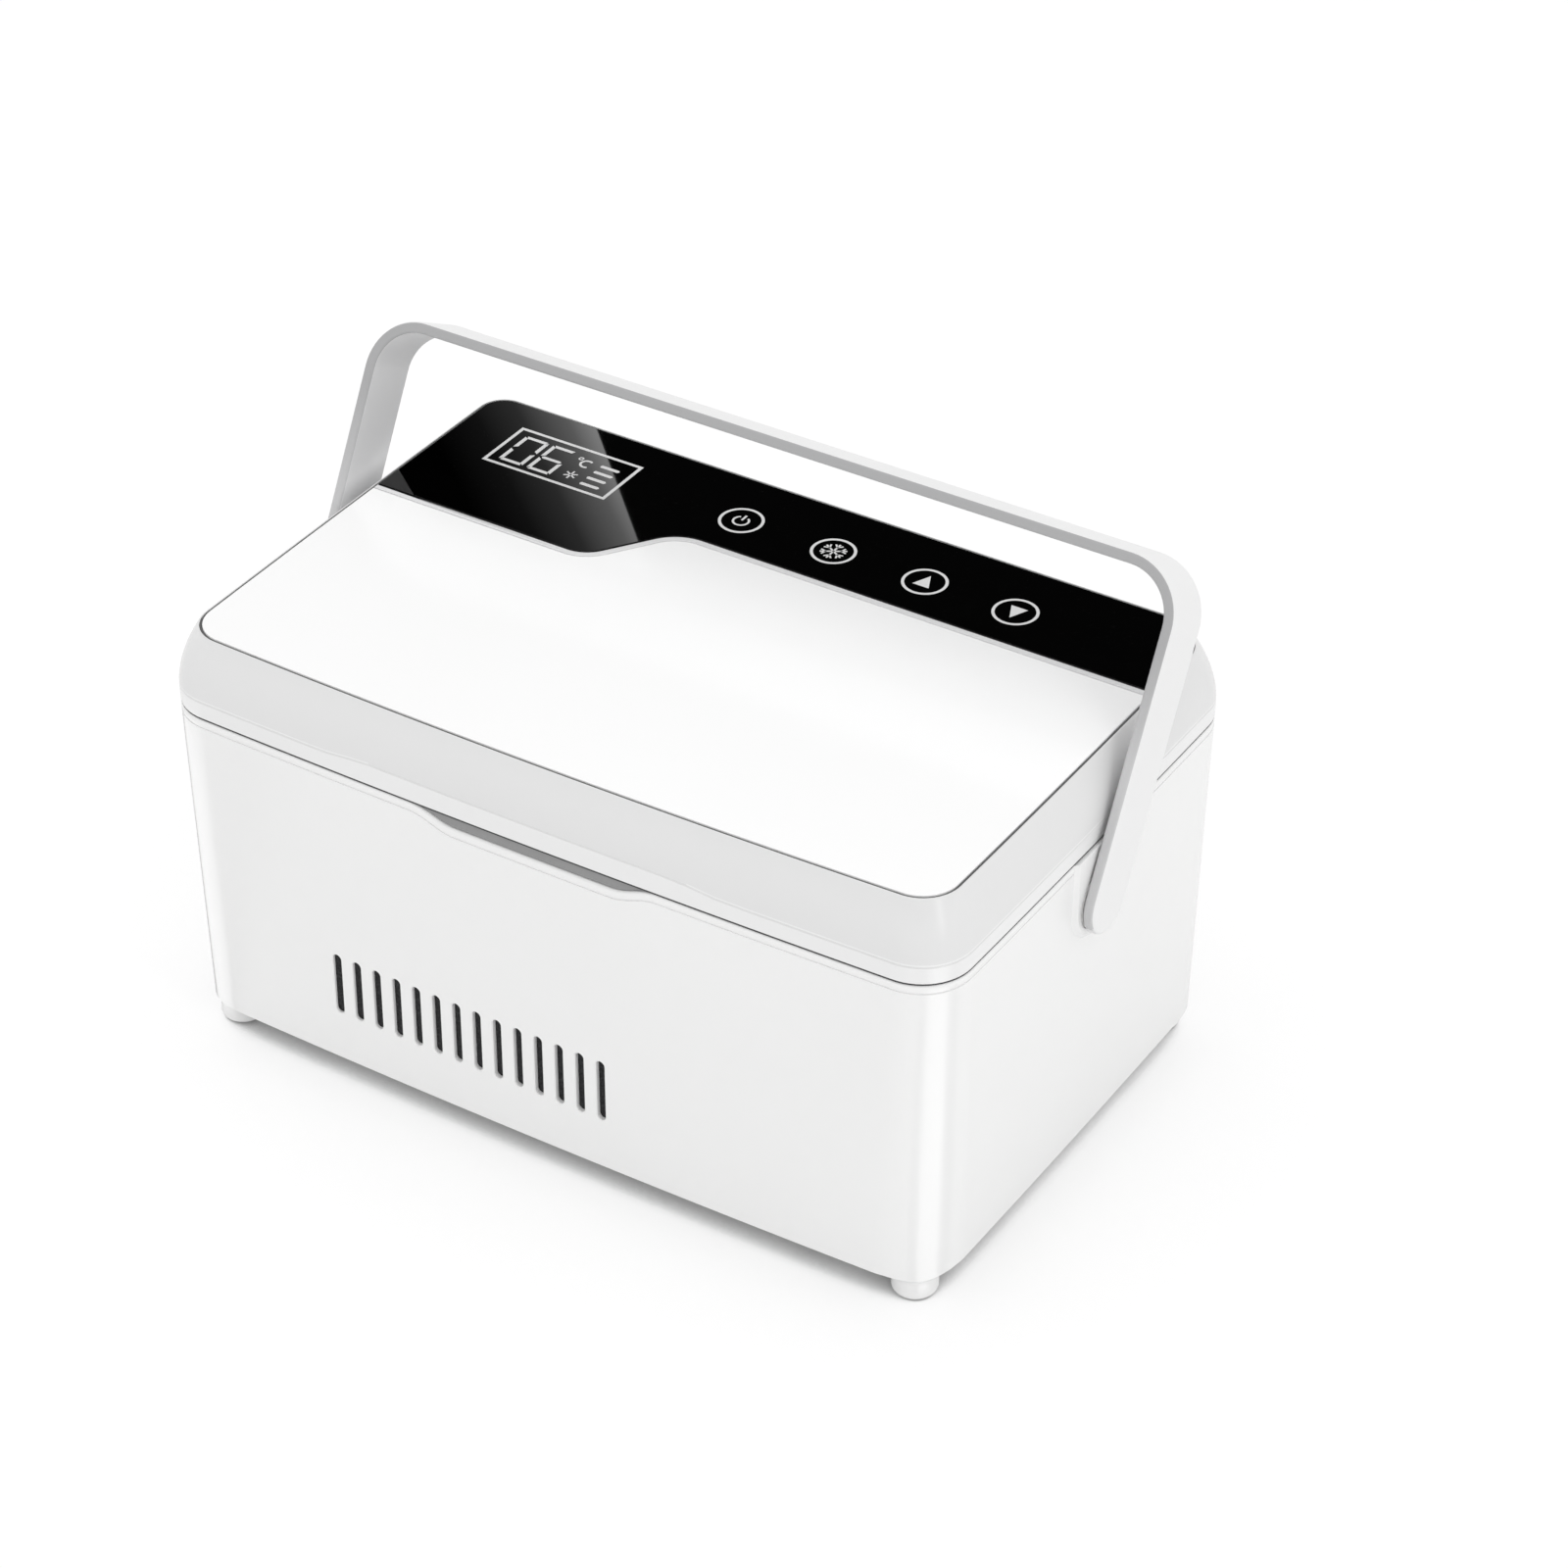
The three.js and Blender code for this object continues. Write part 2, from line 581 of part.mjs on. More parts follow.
function coldBlockBody() {
  const half = coldBlock.side / 2;
  let body = block([stackX - half, stackX + half], [stackY - half, stackY + half], [coldBottom, coldTop]);
  for (const [x, y] of clampPlaces) {
    body = cut(body, rod(screw.radius + fitGap, [coldBottom - overrun, coldTop - overrun], [x, y, 0], small));
  }
  return body;
}

const halfModule = module.side / 2;
node('frame', 'heat_sink', heatSink(), finish.aluminium);
node('frame', 'peltier_module', block([stackX - halfModule, stackX + halfModule],
  [stackY - halfModule, stackY + halfModule], [moduleBottom, moduleTop]), finish.ceramic);
node('frame', 'cold_block', coldBlockBody(), finish.aluminium);
clampPlaces.forEach(([x, y], index) => {
  const low = sinkPlate - screw.headHeight;
  const body = headedScrew([x, y, low], coldTop - low - screw.tipClear);
  node('frame', `clamp_screw_${index === 0 ? 'left' : 'right'}`, body, finish.steel);
});

// Cold chamber: an aluminium tub hung by its flange, with foam round it
const grow = (form, by) => ({
  ...form, width: form.width + 2 * by, depth: form.depth + 2 * by, radius: form.radius + by,
});
const sensorAt = [sensor.x, linerForm.depth / 2, seam - sensor.drop];

function innerLiner() {
  const tub = prism(linerForm, linerBottom, flangeTop);
  const flange = prism(grow(linerForm, liner.flange), flangeBottom, flangeTop);
  const inside = prism(grow(linerForm, -liner.sheet), linerBottom + liner.sheet, flangeTop + overrun);
  const port = rod(sensor.radius + fitGap, [-sensor.length, sensor.length], sensorAt, { axis: 'y', steps: 12 });
  return cut(join(tub, flange), inside, port);
}

function insulation() {
  const half = coldBlock.side / 2 + fitGap;
  const well = block([stackX - half, stackX + half], [stackY - half, stackY + half],
    [foamBottom - overrun, foamFloor + overrun]);
  const port = rod(sensor.collar + fitGap, [0, sensor.length - sensor.reach + fitGap], sensorAt,
    { axis: 'y', steps: 12 });
  return cut(
    prism(foamForm, foamBottom, flangeBottom - fitGap),
    prism(grow(linerForm, fitGap), foamFloor, flangeBottom), well, port);
}

function sensorBody() {
  const { radius, reach, length, collar, collarHeight } = sensor;
  const back = length - reach;
  const profile = [
    [0, -reach], [radius, -reach], [radius, fitGap], [collar, fitGap], [collar, fitGap + collarHeight],
    [radius, fitGap + collarHeight], [radius, back], [0, back],
  ];
  return turned(profile, sensorAt, { axis: 'y', steps: 12 });
}

node('frame', 'inner_liner', innerLiner(), finish.aluminium);
node('frame', 'insulation_foam', insulation(), finish.foam);
node('frame', 'temperature_sensor', sensorBody(), finish.steel);

// Chamber rim: the white ring that covers the foam and holds the seal
const mouth = grow(linerForm, -liner.sheet - rim.mouthInset);
const sealInner = grow(mouth, seal.inset);
const sealOuter = grow(sealInner, seal.width);
const magnetY = -rearInside + magnet.fromWall;
const magnetXs = [-magnetX, magnetX];

function chamberRim() {
  const outer = caseSection(rimBottom, wall + fitGap);
  const groove = cut(
    prism(grow(sealOuter, fitGap), rimTop - seal.depth, rimTop + overrun),
    prism(grow(sealInner, -fitGap), rimTop - seal.depth - overrun, rimTop + 2 * overrun));
  let body = cut(prism(outer, rimBottom, rimTop), prism(mouth, rimBottom - overrun, rimTop + overrun), groove);
  for (const side of [-1, 1]) {
    body = cut(body, pocketPad(side, fitGap));
  }
  for (const x of magnetXs) {
    const low = rimTop - magnet.height - fitGap;
    body = cut(body, rod(magnet.radius + fitGap, [low, rimTop + overrun], [x, magnetY, 0], { steps: 16 }));
  }
  return body;
}

node('frame', 'chamber_rim', chamberRim(), finish.white);
node('frame', 'chamber_seal', cut(
  prism(sealOuter, rimTop - seal.depth + fitGap, rimTop - seal.depth + fitGap + seal.height),
  prism(sealInner, 0, lidTop)), finish.rubber);
['left', 'right'].forEach((name, index) => {
  const body = rod(magnet.radius, [rimTop - magnet.height, rimTop], [magnetXs[index], magnetY, 0], { steps: 16 });
  node('frame', `case_magnet_${name}`, body, finish.steel);
});

// Two round cells in a cradle
const cellZ = baseTop + fitGap + cell.floor + cell.radius + fitGap;
const cellYs = [cell.fromFront - rearInside, cell.fromFront - rearInside + cell.pitch];

function batteryHolder() {
  const low = baseTop + fitGap;
  const x0 = cellX - holder.side - fitGap;
  const x1 = cellX + cell.length + cell.capHeight + holder.side + fitGap;
  const reach = cell.radius + holder.side;
  let body = block([x0, x1], [cellYs[0] - reach, cellYs[1] + reach], [low, low + holder.height]);
  for (const y of cellYs) {
    const along = [cellX - fitGap, cellX + cell.length + cell.capHeight + fitGap];
    body = cut(body, rod(cell.radius + fitGap, along, [0, y, cellZ], { axis: 'x' }));
  }
  return body;
}

function batteryCell(y) {
  const { radius, length, cap, capHeight } = cell;
  const tip = length + capHeight;
  const profile = [[0, 0], [radius, 0], [radius, length], [cap, length], [cap, tip], [0, tip]];
  return turned(profile, [cellX, y, cellZ], { axis: 'x' });
}

node('frame', 'battery_holder', batteryHolder(), finish.dark);
cellYs.forEach((y, index) => node('frame', `battery_cell_${index + 1}`, batteryCell(y), finish.cell));

// Power board on its pegs, with its parts and the mains adapter's inlet
function powerBoard() {
  const body = block([boardX, boardX + board.width], [boardY, boardY + board.depth], [boardBottom, boardTop]);
  return cut(body, ...boardPosts.map(([x, y]) => rod(peg.radius + fitGap, [0, linerBottom], [x, y, 0], small)));
}

// Places on the board are measured from its left front corner
const capacitor = { along: 36, back: 14, radius: 5, height: 12 };
const chip = { along: 20, back: 32, side: 9, height: 1.4 };
const plug = { along: 3, back: 10, width: 5, depth: 16, height: 6, fanLead: 3, moduleLead: 13 };
const plugX = boardX + plug.along;
const plugY = boardY + plug.back;

function inletJack() {
  const back = rearInside - fitGap;
  const outer = caseDepth / 2;
  const half = jack.width / 2;
  const at = [jackX, 0, jackZ];
  const body = block(
    [jackX - half, jackX + half], [back - jack.depth, back], [partsBottom, partsBottom + jack.height]);
  const collar = rod(jack.collar, [back - overrun, outer], at, { axis: 'y' });
  const socket = rod(jack.socket, [outer - jack.socketDepth, outer + overrun], at, { axis: 'y', steps: 16 });
  const pin = rod(jack.pin, [outer - jack.socketDepth - overrun, outer - overrun], at, { axis: 'y', steps: 10 });
  return join(cut(join(body, collar), socket), pin);
}

node('frame', 'power_board', powerBoard(), finish.board);
const capacitorAt = [boardX + capacitor.along, boardY + capacitor.back, 0];
node('frame', 'capacitor', rod(capacitor.radius, [partsBottom, partsBottom + capacitor.height], capacitorAt),
  finish.dark);
const chipX = boardX + chip.along;
const chipY = boardY + chip.back;
node('frame', 'control_chip', block(
  [chipX, chipX + chip.side], [chipY, chipY + chip.side], [partsBottom, partsBottom + chip.height]), finish.dark);
node('frame', 'lead_connector', block(
  [plugX, plugX + plug.width], [plugY, plugY + plug.depth], [partsBottom, partsBottom + plug.height]), finish.foam);
node('frame', 'inlet_jack', inletJack(), finish.dark);

// Leads inside the case: one from the fan, two from the thermoelectric module
const lead = { radius: 0.8, steps: 10, dip: 3, spread: 1 };

function leadBody(points) {
  const curve = new THREE.CatmullRomCurve3(points.map(point => new THREE.Vector3(...point)));
  const section = new THREE.Shape();
  section.absarc(0, 0, lead.radius, 0, 2 * Math.PI, false);
  return solid(new THREE.ExtrudeGeometry(section, { steps: lead.steps, extrudePath: curve, curveSegments: 4 }));
}

const plugFace = plugX - fitGap;
const fanPlugY = plugY + plug.fanLead;
const modulePlugY = plugY + plug.moduleLead;
const plugZ = partsBottom + plug.height / 2;
const fanSide = stackX + fan.side / 2 + fitGap;
const sinkSide = stackX + sink.width / 2 + lead.dip;
const moduleSide = stackX + halfModule + fitGap;
const moduleZ = (moduleBottom + moduleTop) / 2;
node('frame', 'fan_lead', leadBody([
  [fanSide, stackY + fan.side / 4, fanBottom + fan.height / 2],
  [fanSide + lead.dip, stackY + fan.side / 4, fanBottom + fan.height / 2],
  [(fanSide + plugFace) / 2, (stackY + fan.side / 4 + plugY) / 2, boardTop],
  [plugFace - lead.dip, fanPlugY, plugZ],
  [plugFace, fanPlugY, plugZ],
]), finish.dark);
[['red', -1, finish.red], ['black', 1, finish.dark]].forEach(([name, side, look]) => {
  const start = stackY + halfModule / 2;
  const end = modulePlugY;
  const offset = side * lead.spread;
  node('frame', `module_lead_${name}`, leadBody([
    [moduleSide, start, moduleZ + offset],
    [sinkSide, start, moduleZ + offset],
    [sinkSide + lead.dip, (start * 2 + end) / 3, (moduleZ * 2 + plugZ) / 3 + offset],
    [plugFace - 2 * lead.dip, (start + end * 2) / 3, (moduleZ + plugZ * 3) / 4 + offset],
    [plugFace - lead.dip, end, plugZ + offset],
    [plugFace, end, plugZ + offset],
  ]), look);
});

// Handle pivots: a headed steel pin through each pocket from inside
['left', 'right'].forEach((name, index) => {
  const side = index === 0 ? -1 : 1;
  const inner = padFace - fitGap;
  const outer = handleOuter - handle.skin - fitGap;
  const { pinRadius, headRadius, head } = pivot;
  const profile = [
    [0, inner - head], [headRadius, inner - head], [headRadius, inner], [pinRadius, inner], [pinRadius, outer],
    [0, outer],
  ];
  const pin = turned(side > 0 ? profile : profile.map(([r, h]) => [r, -h]).reverse(),
    [0, pivot.y, pivotZ], { axis: 'x', steps: 16 });
  node('frame', `handle_pin_${name}`, pin, finish.steel);
});

// Hinge pins through the case's knuckles
['left', 'right'].forEach((name, index) => {
  const x = (index === 0 ? -1 : 1) * hingeX;
  const half = hinge.middle / 2 + seamGap + hinge.outer;
  node('frame', `hinge_pin_${name}`, rod(hinge.pin, [-half, half], [x, hingeY, hingeZ], { axis: 'x', steps: 12 }),
    finish.steel);
});

// Lid shell: upright above the seam, then a convex lean up to the recess for the top sheets
function lidSection(z, inset = 0) {
  const lean = Math.max(0, 1 - (lidTop - z) / lidCurve.depth) ** lidCurve.power;
  return {
    z,
    width: caseWidth - 2 * lidCurve.side * lean - 2 * inset,
    depth: caseDepth - (lidCurve.front + lidCurve.rear) * lean - 2 * inset,
    middle: ((lidCurve.front - lidCurve.rear) / 2) * lean,
    radius: seamRadius + (lidCurve.cornerRadius - seamRadius) * lean - inset,
    rearRadius: seamRadius + (lidCurve.rearRadius - seamRadius) * lean - inset,
    crown: frontCrown + (lidCurve.crown - frontCrown) * lean,
    bulge: sideCrown,
  };
}

const outerShares = [0, 0.3, 0.55, 0.8, 1];
const innerShares = [0, 0.5, 1];
const curveLevels = (shares, high, inset) => shares.map(
  share => lidSection(curveStart + (high - curveStart) * share, inset));
const curveStart = lidTop - lidCurve.depth;
const plateBottom = lidTop - plate.thickness;
const deckTop = plateBottom - fitGap;
const deckBottom = deckTop - plate.deck;
const rimEdge = lidTop - plate.rimDrop;
const recessForm = lidSection(rimEdge, plate.rim);
const plateForm = lidSection(rimEdge, plate.rim + plate.groove);
const boardLevel = deckBottom - touch.drop - touch.thickness;
const padBottom = boardLevel + touch.thickness + fitGap;
const lidLinerBottom = lidBottom + lidLiner.lift;
const lidLinerTop = lidLinerBottom + lidLiner.sheet;

const screenWindow = block(
  [screenX - screen.width / 2 - screen.clear, screenRight + screen.clear],
  [screenY - screen.depth / 2 - screen.clear, screenY + screen.depth / 2 + screen.clear],
  [deckBottom - overrun, deckTop + overrun]);

function lidShell() {
  const outside = loft([
    lidSection(lidBottom, lip.inset / 2), lidSection(lidBottom + lip.inset / 2),
    ...curveLevels(outerShares, rimEdge, 0),
  ]);
  const inside = loft([
    lidSection(lidBottom - overrun, wall), ...curveLevels(innerShares, deckBottom, wall),
  ]);
  const recess = prism(recessForm, deckTop, lidTop + overrun);
  let body = cut(outside, inside, recess, screenWindow);
  for (const x of keyXs) {
    body = cut(body, rod(keys.radius + keys.clear, [deckBottom - overrun, deckTop + overrun], [x, keyY, 0]));
  }
  for (const [sx, sy] of corners) {
    const at = [sx * lidBossX, sy * lidBossY, 0];
    body = body.add(rod(lidBoss.radius, [lidLinerTop + fitGap, deckTop], at, { steps: 16 }));
    body = body.add(rod(peg.radius, [lidLinerBottom, deckTop], at, small));
  }
  for (const x of postXs) {
    const at = [x, keyY, 0];
    body = body.add(rod(touch.post, [boardLevel + touch.thickness + fitGap, deckTop], at, small));
    body = body.add(rod(peg.radius, [boardLevel - peg.reach, deckTop], at, small));
  }
  for (const side of [-1, 1]) {
    const { body: arm, bore } = knuckle(side * hingeX, hinge.middle, true);
    body = cut(body.add(arm), bore);
  }
  return body;
}

node('lid', 'lid_shell', lidShell(), finish.white);

// Top sheets: the white plate in front, the black panel behind, and the silver strip between them
const rise = splitRight - splitLeft;
const bend = 1 - Math.cos(split.angle);
const slope = (rise - (split.lowRadius + split.highRadius) * bend) / Math.sin(split.angle);
const splitRun = (split.lowRadius + split.highRadius) * Math.sin(split.angle) + slope * Math.cos(split.angle);
const arcSteps = 8;

// The S-shaped line between the two sheets, moved towards the front by a given distance
function splitLine(forward) {
  const points = [[-caseWidth, splitLeft - forward]];
  const low = split.lowRadius + forward;
  const high = split.highRadius - forward;
  for (let step = 0; step <= arcSteps; step += 1) {
    const angle = split.angle * (step / arcSteps);
    points.push([splitX + low * Math.sin(angle), splitLeft + split.lowRadius - low * Math.cos(angle)]);
  }
  for (let step = arcSteps; step >= 0; step -= 1) {
    const angle = split.angle * (step / arcSteps);
    points.push([
      splitX + splitRun - high * Math.sin(angle), splitRight - split.highRadius + high * Math.cos(angle)]);
  }
  points.push([caseWidth, splitRight - forward]);
  return points;
}

function behindLine(forward) {
  const points = [...splitLine(forward), [caseWidth, caseDepth], [-caseWidth, caseDepth]];
  return pull(drawn(points), lidHeight, { at: [0, 0, lidTop - lidHeight / 2] });
}

const sheet = prism(plateForm, plateBottom, lidTop);
node('lid', 'top_plate', cut(sheet, behindLine(split.trim + 2 * fitGap)), finish.gloss);
node('lid', 'panel_trim', cut(sheet.intersect(behindLine(split.trim + fitGap)), behindLine(fitGap)), finish.silver);
node('lid', 'control_panel', sheet.intersect(behindLine(0)), finish.black);

// Display module and touch board with its conductive foam pads, under the black panel
const padTop = plateBottom - fitGap;
node('lid', 'display_module', block(
  [screenX - screen.width / 2, screenRight],
  [screenY - screen.depth / 2, screenY + screen.depth / 2], [padBottom, padTop]), finish.dark);
const touchX = [screenX - screen.width / 2 - touch.left, downX + touch.right];
node('lid', 'touch_board', cut(
  block(touchX, [keyY - touch.front, keyY + touch.rear], [boardLevel, boardLevel + touch.thickness]),
  ...postXs.map(x => rod(peg.radius + fitGap, [seam, lidTop], [x, keyY, 0], small))), finish.board);
[['power', powerX], ['mode', modeX], ['up', upX], ['down', downX]].forEach(([name, x]) => {
  const pad = rod(keys.radius, [padBottom, padTop], [x, keyY, 0], { steps: 16 });
  node('lid', `touch_pad_${name}`, pad, finish.rubber);
});

// Lid foam and the sheet that closes the lid from below
function lidLinerBody() {
  let body = prism(lidSection(lidBottom, wall + fitGap), lidLinerBottom, lidLinerTop);
  for (const [sx, sy] of corners) {
    body = cut(body, rod(peg.radius + fitGap, [seam, lidTop], [sx * lidBossX, sy * lidBossY, 0], small));
  }
  for (const x of magnetXs) {
    body = cut(body, rod(magnet.radius + fitGap, [seam, lidTop], [x, magnetY, 0], { steps: 16 }));
  }
  return body;
}

node('lid', 'lid_liner', lidLinerBody(), finish.white);
const lidFoamForm = {
  width: caseWidth - 2 * lidFoam.sides, depth: caseDepth - 2 * lidFoam.ends, radius: lidFoam.radius,
};
node('lid', 'lid_foam', prism(lidFoamForm, lidLinerTop + fitGap, lidLinerTop + fitGap + lidFoam.height), finish.foam);
['left', 'right'].forEach((name, index) => {
  node('lid', `lid_magnet_${name}`, rod(magnet.radius, [lidLinerBottom, lidLinerBottom + magnet.height],
    [magnetXs[index], magnetY, 0], { steps: 16 }), finish.steel);
});

// Handle: a band bent to a U, as two arms with their bends and the straight bar between them. A bush at the
// foot of each arm sits in the case's pocket.
const alongSide = (side, span) => (side > 0 ? span : span.map(value => -value).reverse());

function handleBand() {
  const { strap, width, reach, corner, edge, skin } = handle;
  const outerX = handleOuter;
  const shape = new THREE.Shape();
  shape.moveTo(outerX, 0);
  shape.absarc(outerX - corner, reach - corner, corner, 0, Math.PI / 2, false);
  shape.absarc(-outerX + corner, reach - corner, corner, Math.PI / 2, Math.PI, false);
  shape.lineTo(-outerX, 0);
  shape.lineTo(-outerX + strap, 0);
  shape.absarc(-outerX + corner, reach - corner, corner - strap, Math.PI, Math.PI / 2, true);
  shape.absarc(outerX - corner, reach - corner, corner - strap, Math.PI / 2, 0, true);
  shape.lineTo(outerX - strap, 0);
  const band = new THREE.ExtrudeGeometry(shape, {
    depth: width - 2 * edge, bevelEnabled: true, bevelThickness: edge, bevelSize: edge, bevelOffset: -edge,
    bevelSegments: 1, curveSegments: 5,
  });
  band.applyMatrix4(alongY);
  band.translate(0, width / 2 - edge, 0);
  let body = solid(band);
  for (const side of [-1, 1]) {
    const end = alongSide(side, [handleInner, outerX]);
    const ring = width / 2;
    const round = [[0, end[0]], [ring - edge, end[0]], [ring, end[0] + edge], [ring, end[1] - edge],
      [ring - edge, end[1]], [0, end[1]]];
    body = body.add(turned(round, [0, 0, 0], { axis: 'x', steps: 24 }));
    const bore = alongSide(side, [handleInner - overrun, outerX - skin]);
    body = cut(body, rod(pivot.pinRadius + fitGap, bore, [0, 0, 0], { axis: 'x', steps: 16 }));
  }
  return body;
}

function handleBush(side) {
  const tube = rod(bush.radius, alongSide(side, [bushFace, handleInner - fitGap]), [0, 0, 0], { axis: 'x' });
  const bore = alongSide(side, [bushFace - overrun, handleInner + overrun]);
  return cut(tube, rod(pivot.pinRadius + fitGap, bore, [0, 0, 0], { axis: 'x', steps: 16 }));
}

const band = handleBand();
const bendStart = handleOuter - handle.corner;
const part = xSpan => band.intersect(block(xSpan, [-handle.width, handle.width],
  [-handle.width, handle.reach + overrun]));
node('handle', 'handle_bar', part([fitGap - bendStart, bendStart - fitGap]), finish.white);
['left', 'right'].forEach((name, index) => {
  const side = index === 0 ? -1 : 1;
  node('handle', `handle_arm_${name}`, part(alongSide(side, [bendStart, handleOuter + overrun])), finish.white);
  node('handle', `handle_bush_${name}`, handleBush(side), finish.white);
});
bodies.handle.position.set(0, pivot.y, pivotZ);
bodies.handle.rotation.x = -THREE.MathUtils.degToRad(handle.lean);

// The origin lies under the middle of the whole object, hinge barrels included
const rearReach = hingeY + hinge.radius;
const assembly = new THREE.Group();
assembly.add(bodies.frame, bodies.lid, bodies.handle, bodies.rotor);
assembly.position.y = -(rearReach + frontFace) / 2;
const coolingCase = new THREE.Group();
coolingCase.add(assembly);

export default coolingCase;
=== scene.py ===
import math
import bmesh
import bpy
from mathutils import Matrix, Vector


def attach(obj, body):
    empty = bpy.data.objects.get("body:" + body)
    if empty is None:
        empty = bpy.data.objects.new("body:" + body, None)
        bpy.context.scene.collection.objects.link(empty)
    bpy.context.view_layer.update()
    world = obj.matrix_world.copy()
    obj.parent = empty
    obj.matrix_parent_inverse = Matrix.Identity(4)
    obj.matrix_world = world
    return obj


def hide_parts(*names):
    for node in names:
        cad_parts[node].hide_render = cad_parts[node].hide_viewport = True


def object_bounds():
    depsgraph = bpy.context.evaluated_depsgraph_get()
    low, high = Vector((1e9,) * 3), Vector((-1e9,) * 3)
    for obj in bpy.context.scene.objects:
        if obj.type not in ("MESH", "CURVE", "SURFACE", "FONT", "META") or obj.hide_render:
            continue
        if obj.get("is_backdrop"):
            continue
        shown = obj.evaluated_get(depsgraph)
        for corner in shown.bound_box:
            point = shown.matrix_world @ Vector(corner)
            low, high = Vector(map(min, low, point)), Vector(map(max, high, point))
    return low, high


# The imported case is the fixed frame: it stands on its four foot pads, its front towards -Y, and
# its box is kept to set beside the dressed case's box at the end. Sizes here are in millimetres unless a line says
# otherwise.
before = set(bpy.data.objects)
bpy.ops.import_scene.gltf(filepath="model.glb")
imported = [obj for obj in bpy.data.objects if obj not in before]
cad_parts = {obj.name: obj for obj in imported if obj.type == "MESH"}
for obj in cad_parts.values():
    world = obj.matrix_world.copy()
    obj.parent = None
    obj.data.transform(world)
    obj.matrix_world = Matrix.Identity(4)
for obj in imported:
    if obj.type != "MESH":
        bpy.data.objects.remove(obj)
cad_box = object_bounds()
mm = 0.001

# The camera stands in front of the case, to its right and above it, far enough away for nearly
# parallel edges.
camera_data = bpy.data.cameras.new("camera")
camera_data.lens = 106.69
camera_data.sensor_width = 36
camera_data.clip_end = 20
camera = bpy.data.objects.new("camera", camera_data)
camera.location = Vector((559.16, -850.35, 793.62)) * mm
camera.rotation_euler = Vector((-0.43451, 0.69261, -0.57575)).to_track_quat("-Z", "Y").to_euler()
bpy.context.scene.collection.objects.link(camera)
bpy.context.scene.camera = camera
bpy.context.scene.view_settings.view_transform = "Standard"


# The studio: a white room that lights the case from all round, darker overhead in its reflections
# as a room with a high ceiling is, and white wherever the camera looks past the floor.
class Wire:
    """An output of a finish's nodes. A sum written with it adds the nodes that work the sum out."""

    def __init__(self, socket):
        self.socket = socket

    def node(self, kind, settings, sockets, output=0):
        """A new node: its type, its settings, and then the values or the wires of its sockets."""
        tree = self.socket.id_data
        made = tree.nodes.new("ShaderNode" + kind)
        for name, value in settings.items():
            if name == "stops":
                while len(made.color_ramp.elements) < len(value):
                    made.color_ramp.elements.new(1.0)
                for stop, (place, shade) in zip(made.color_ramp.elements, value):
                    stop.position = place
                    stop.color = (shade, shade, shade, 1.0)
            else:
                setattr(made, name, value)
        for name, value in sockets.items():
            feed(made.inputs[name], value)
        return Wire(made.outputs[output])

    def maths(self, operation, first, second):
        return self.node("Math", {"operation": operation}, {0: first, 1: second})

    def __add__(self, other):
        return self.maths("ADD", self, other)

    __radd__ = __add__

    def __sub__(self, other):
        return self.maths("SUBTRACT", self, other)

    def __rsub__(self, other):
        return self.maths("SUBTRACT", other, self)

    def __mul__(self, other):
        return self.maths("MULTIPLY", self, other)

    __rmul__ = __mul__


def feed(socket, value):
    """Puts a plain value on a socket, or leads a wire to it."""
    if isinstance(value, Wire):
        socket.id_data.links.new(value.socket, socket)
    else:
        socket.default_value = value


room_light = 0.93
ceiling_in_gloss = 0.012
world = bpy.data.worlds.new("studio room")
world.use_nodes = True
bpy.context.scene.world = world
background = world.node_tree.nodes["Background"]
background.inputs["Color"].default_value = (1, 1, 1, 1)
direction = Wire(world.node_tree.nodes.new("ShaderNodeTexCoord").outputs["Generated"])
height = direction.node("SeparateXYZ", {}, {"Vector": direction}, "Z")
ceiling = direction.node("ValToRGB", {"stops": [(0.12, 1.0), (0.42, ceiling_in_gloss)]}, {"Fac": height})
camera_ray = direction.node("LightPath", {}, {}, "Is Camera Ray")
through_ray = direction.node("LightPath", {}, {}, "Is Transmission Ray")
gloss_ray = direction.node("LightPath", {}, {}, "Is Glossy Ray")
seen = camera_ray.maths("MAXIMUM", camera_ray, through_ray)
feed(background.inputs["Strength"], seen + (1 - seen) * (gloss_ray * ceiling + (1 - gloss_ray) * room_light))

# Two soft lamps: one overhead that lifts the flat top, and a tall narrow one at the front right
# that draws the bright line down the near corner.
# Each lamp's place and aim in metres, its width and height, and its power in watts.
lamps = {
    "overhead lamp": ((-0.3, -0.1, 1.6), (0.18, 0, -1), 1.4, 1.4, 4.5),
    "corner lamp": ((1.40, -0.55, 0.75), (-0.90, 0.36, -0.42), 0.16, 1.1, 2.7),
}
for lamp_name, (place, aim, wide, tall, power) in lamps.items():
    lamp_data = bpy.data.lights.new(lamp_name, "AREA")
    lamp_data.shape = "RECTANGLE"
    lamp_data.size, lamp_data.size_y, lamp_data.energy = wide, tall, power
    lamp = bpy.data.objects.new(lamp_name, lamp_data)
    lamp.location = place
    lamp.rotation_euler = Vector(aim).to_track_quat("-Z", "Y").to_euler()
    lamp.visible_camera = False
    bpy.context.scene.collection.objects.link(lamp)


# The floor: a sheet of white board, plain and faintly fibrous. Where the camera looks at it, part of
# its light is its own, so that it stays white, and that own light is dimmed near the case by an occlusion ramp, a
# painted contact shadow close round the case.
def new_finish(name, plain):
    """A material with these plain shader values, its shader, and a wire of the place on the piece."""
    material = bpy.data.materials.new(name)
    material.use_nodes = True
    shader = material.node_tree.nodes["Principled BSDF"]
    for socket, value in plain.items():
        shader.inputs[socket].default_value = value
    place = Wire(material.node_tree.nodes.new("ShaderNodeTexCoord").outputs["Object"])
    return material, shader, place


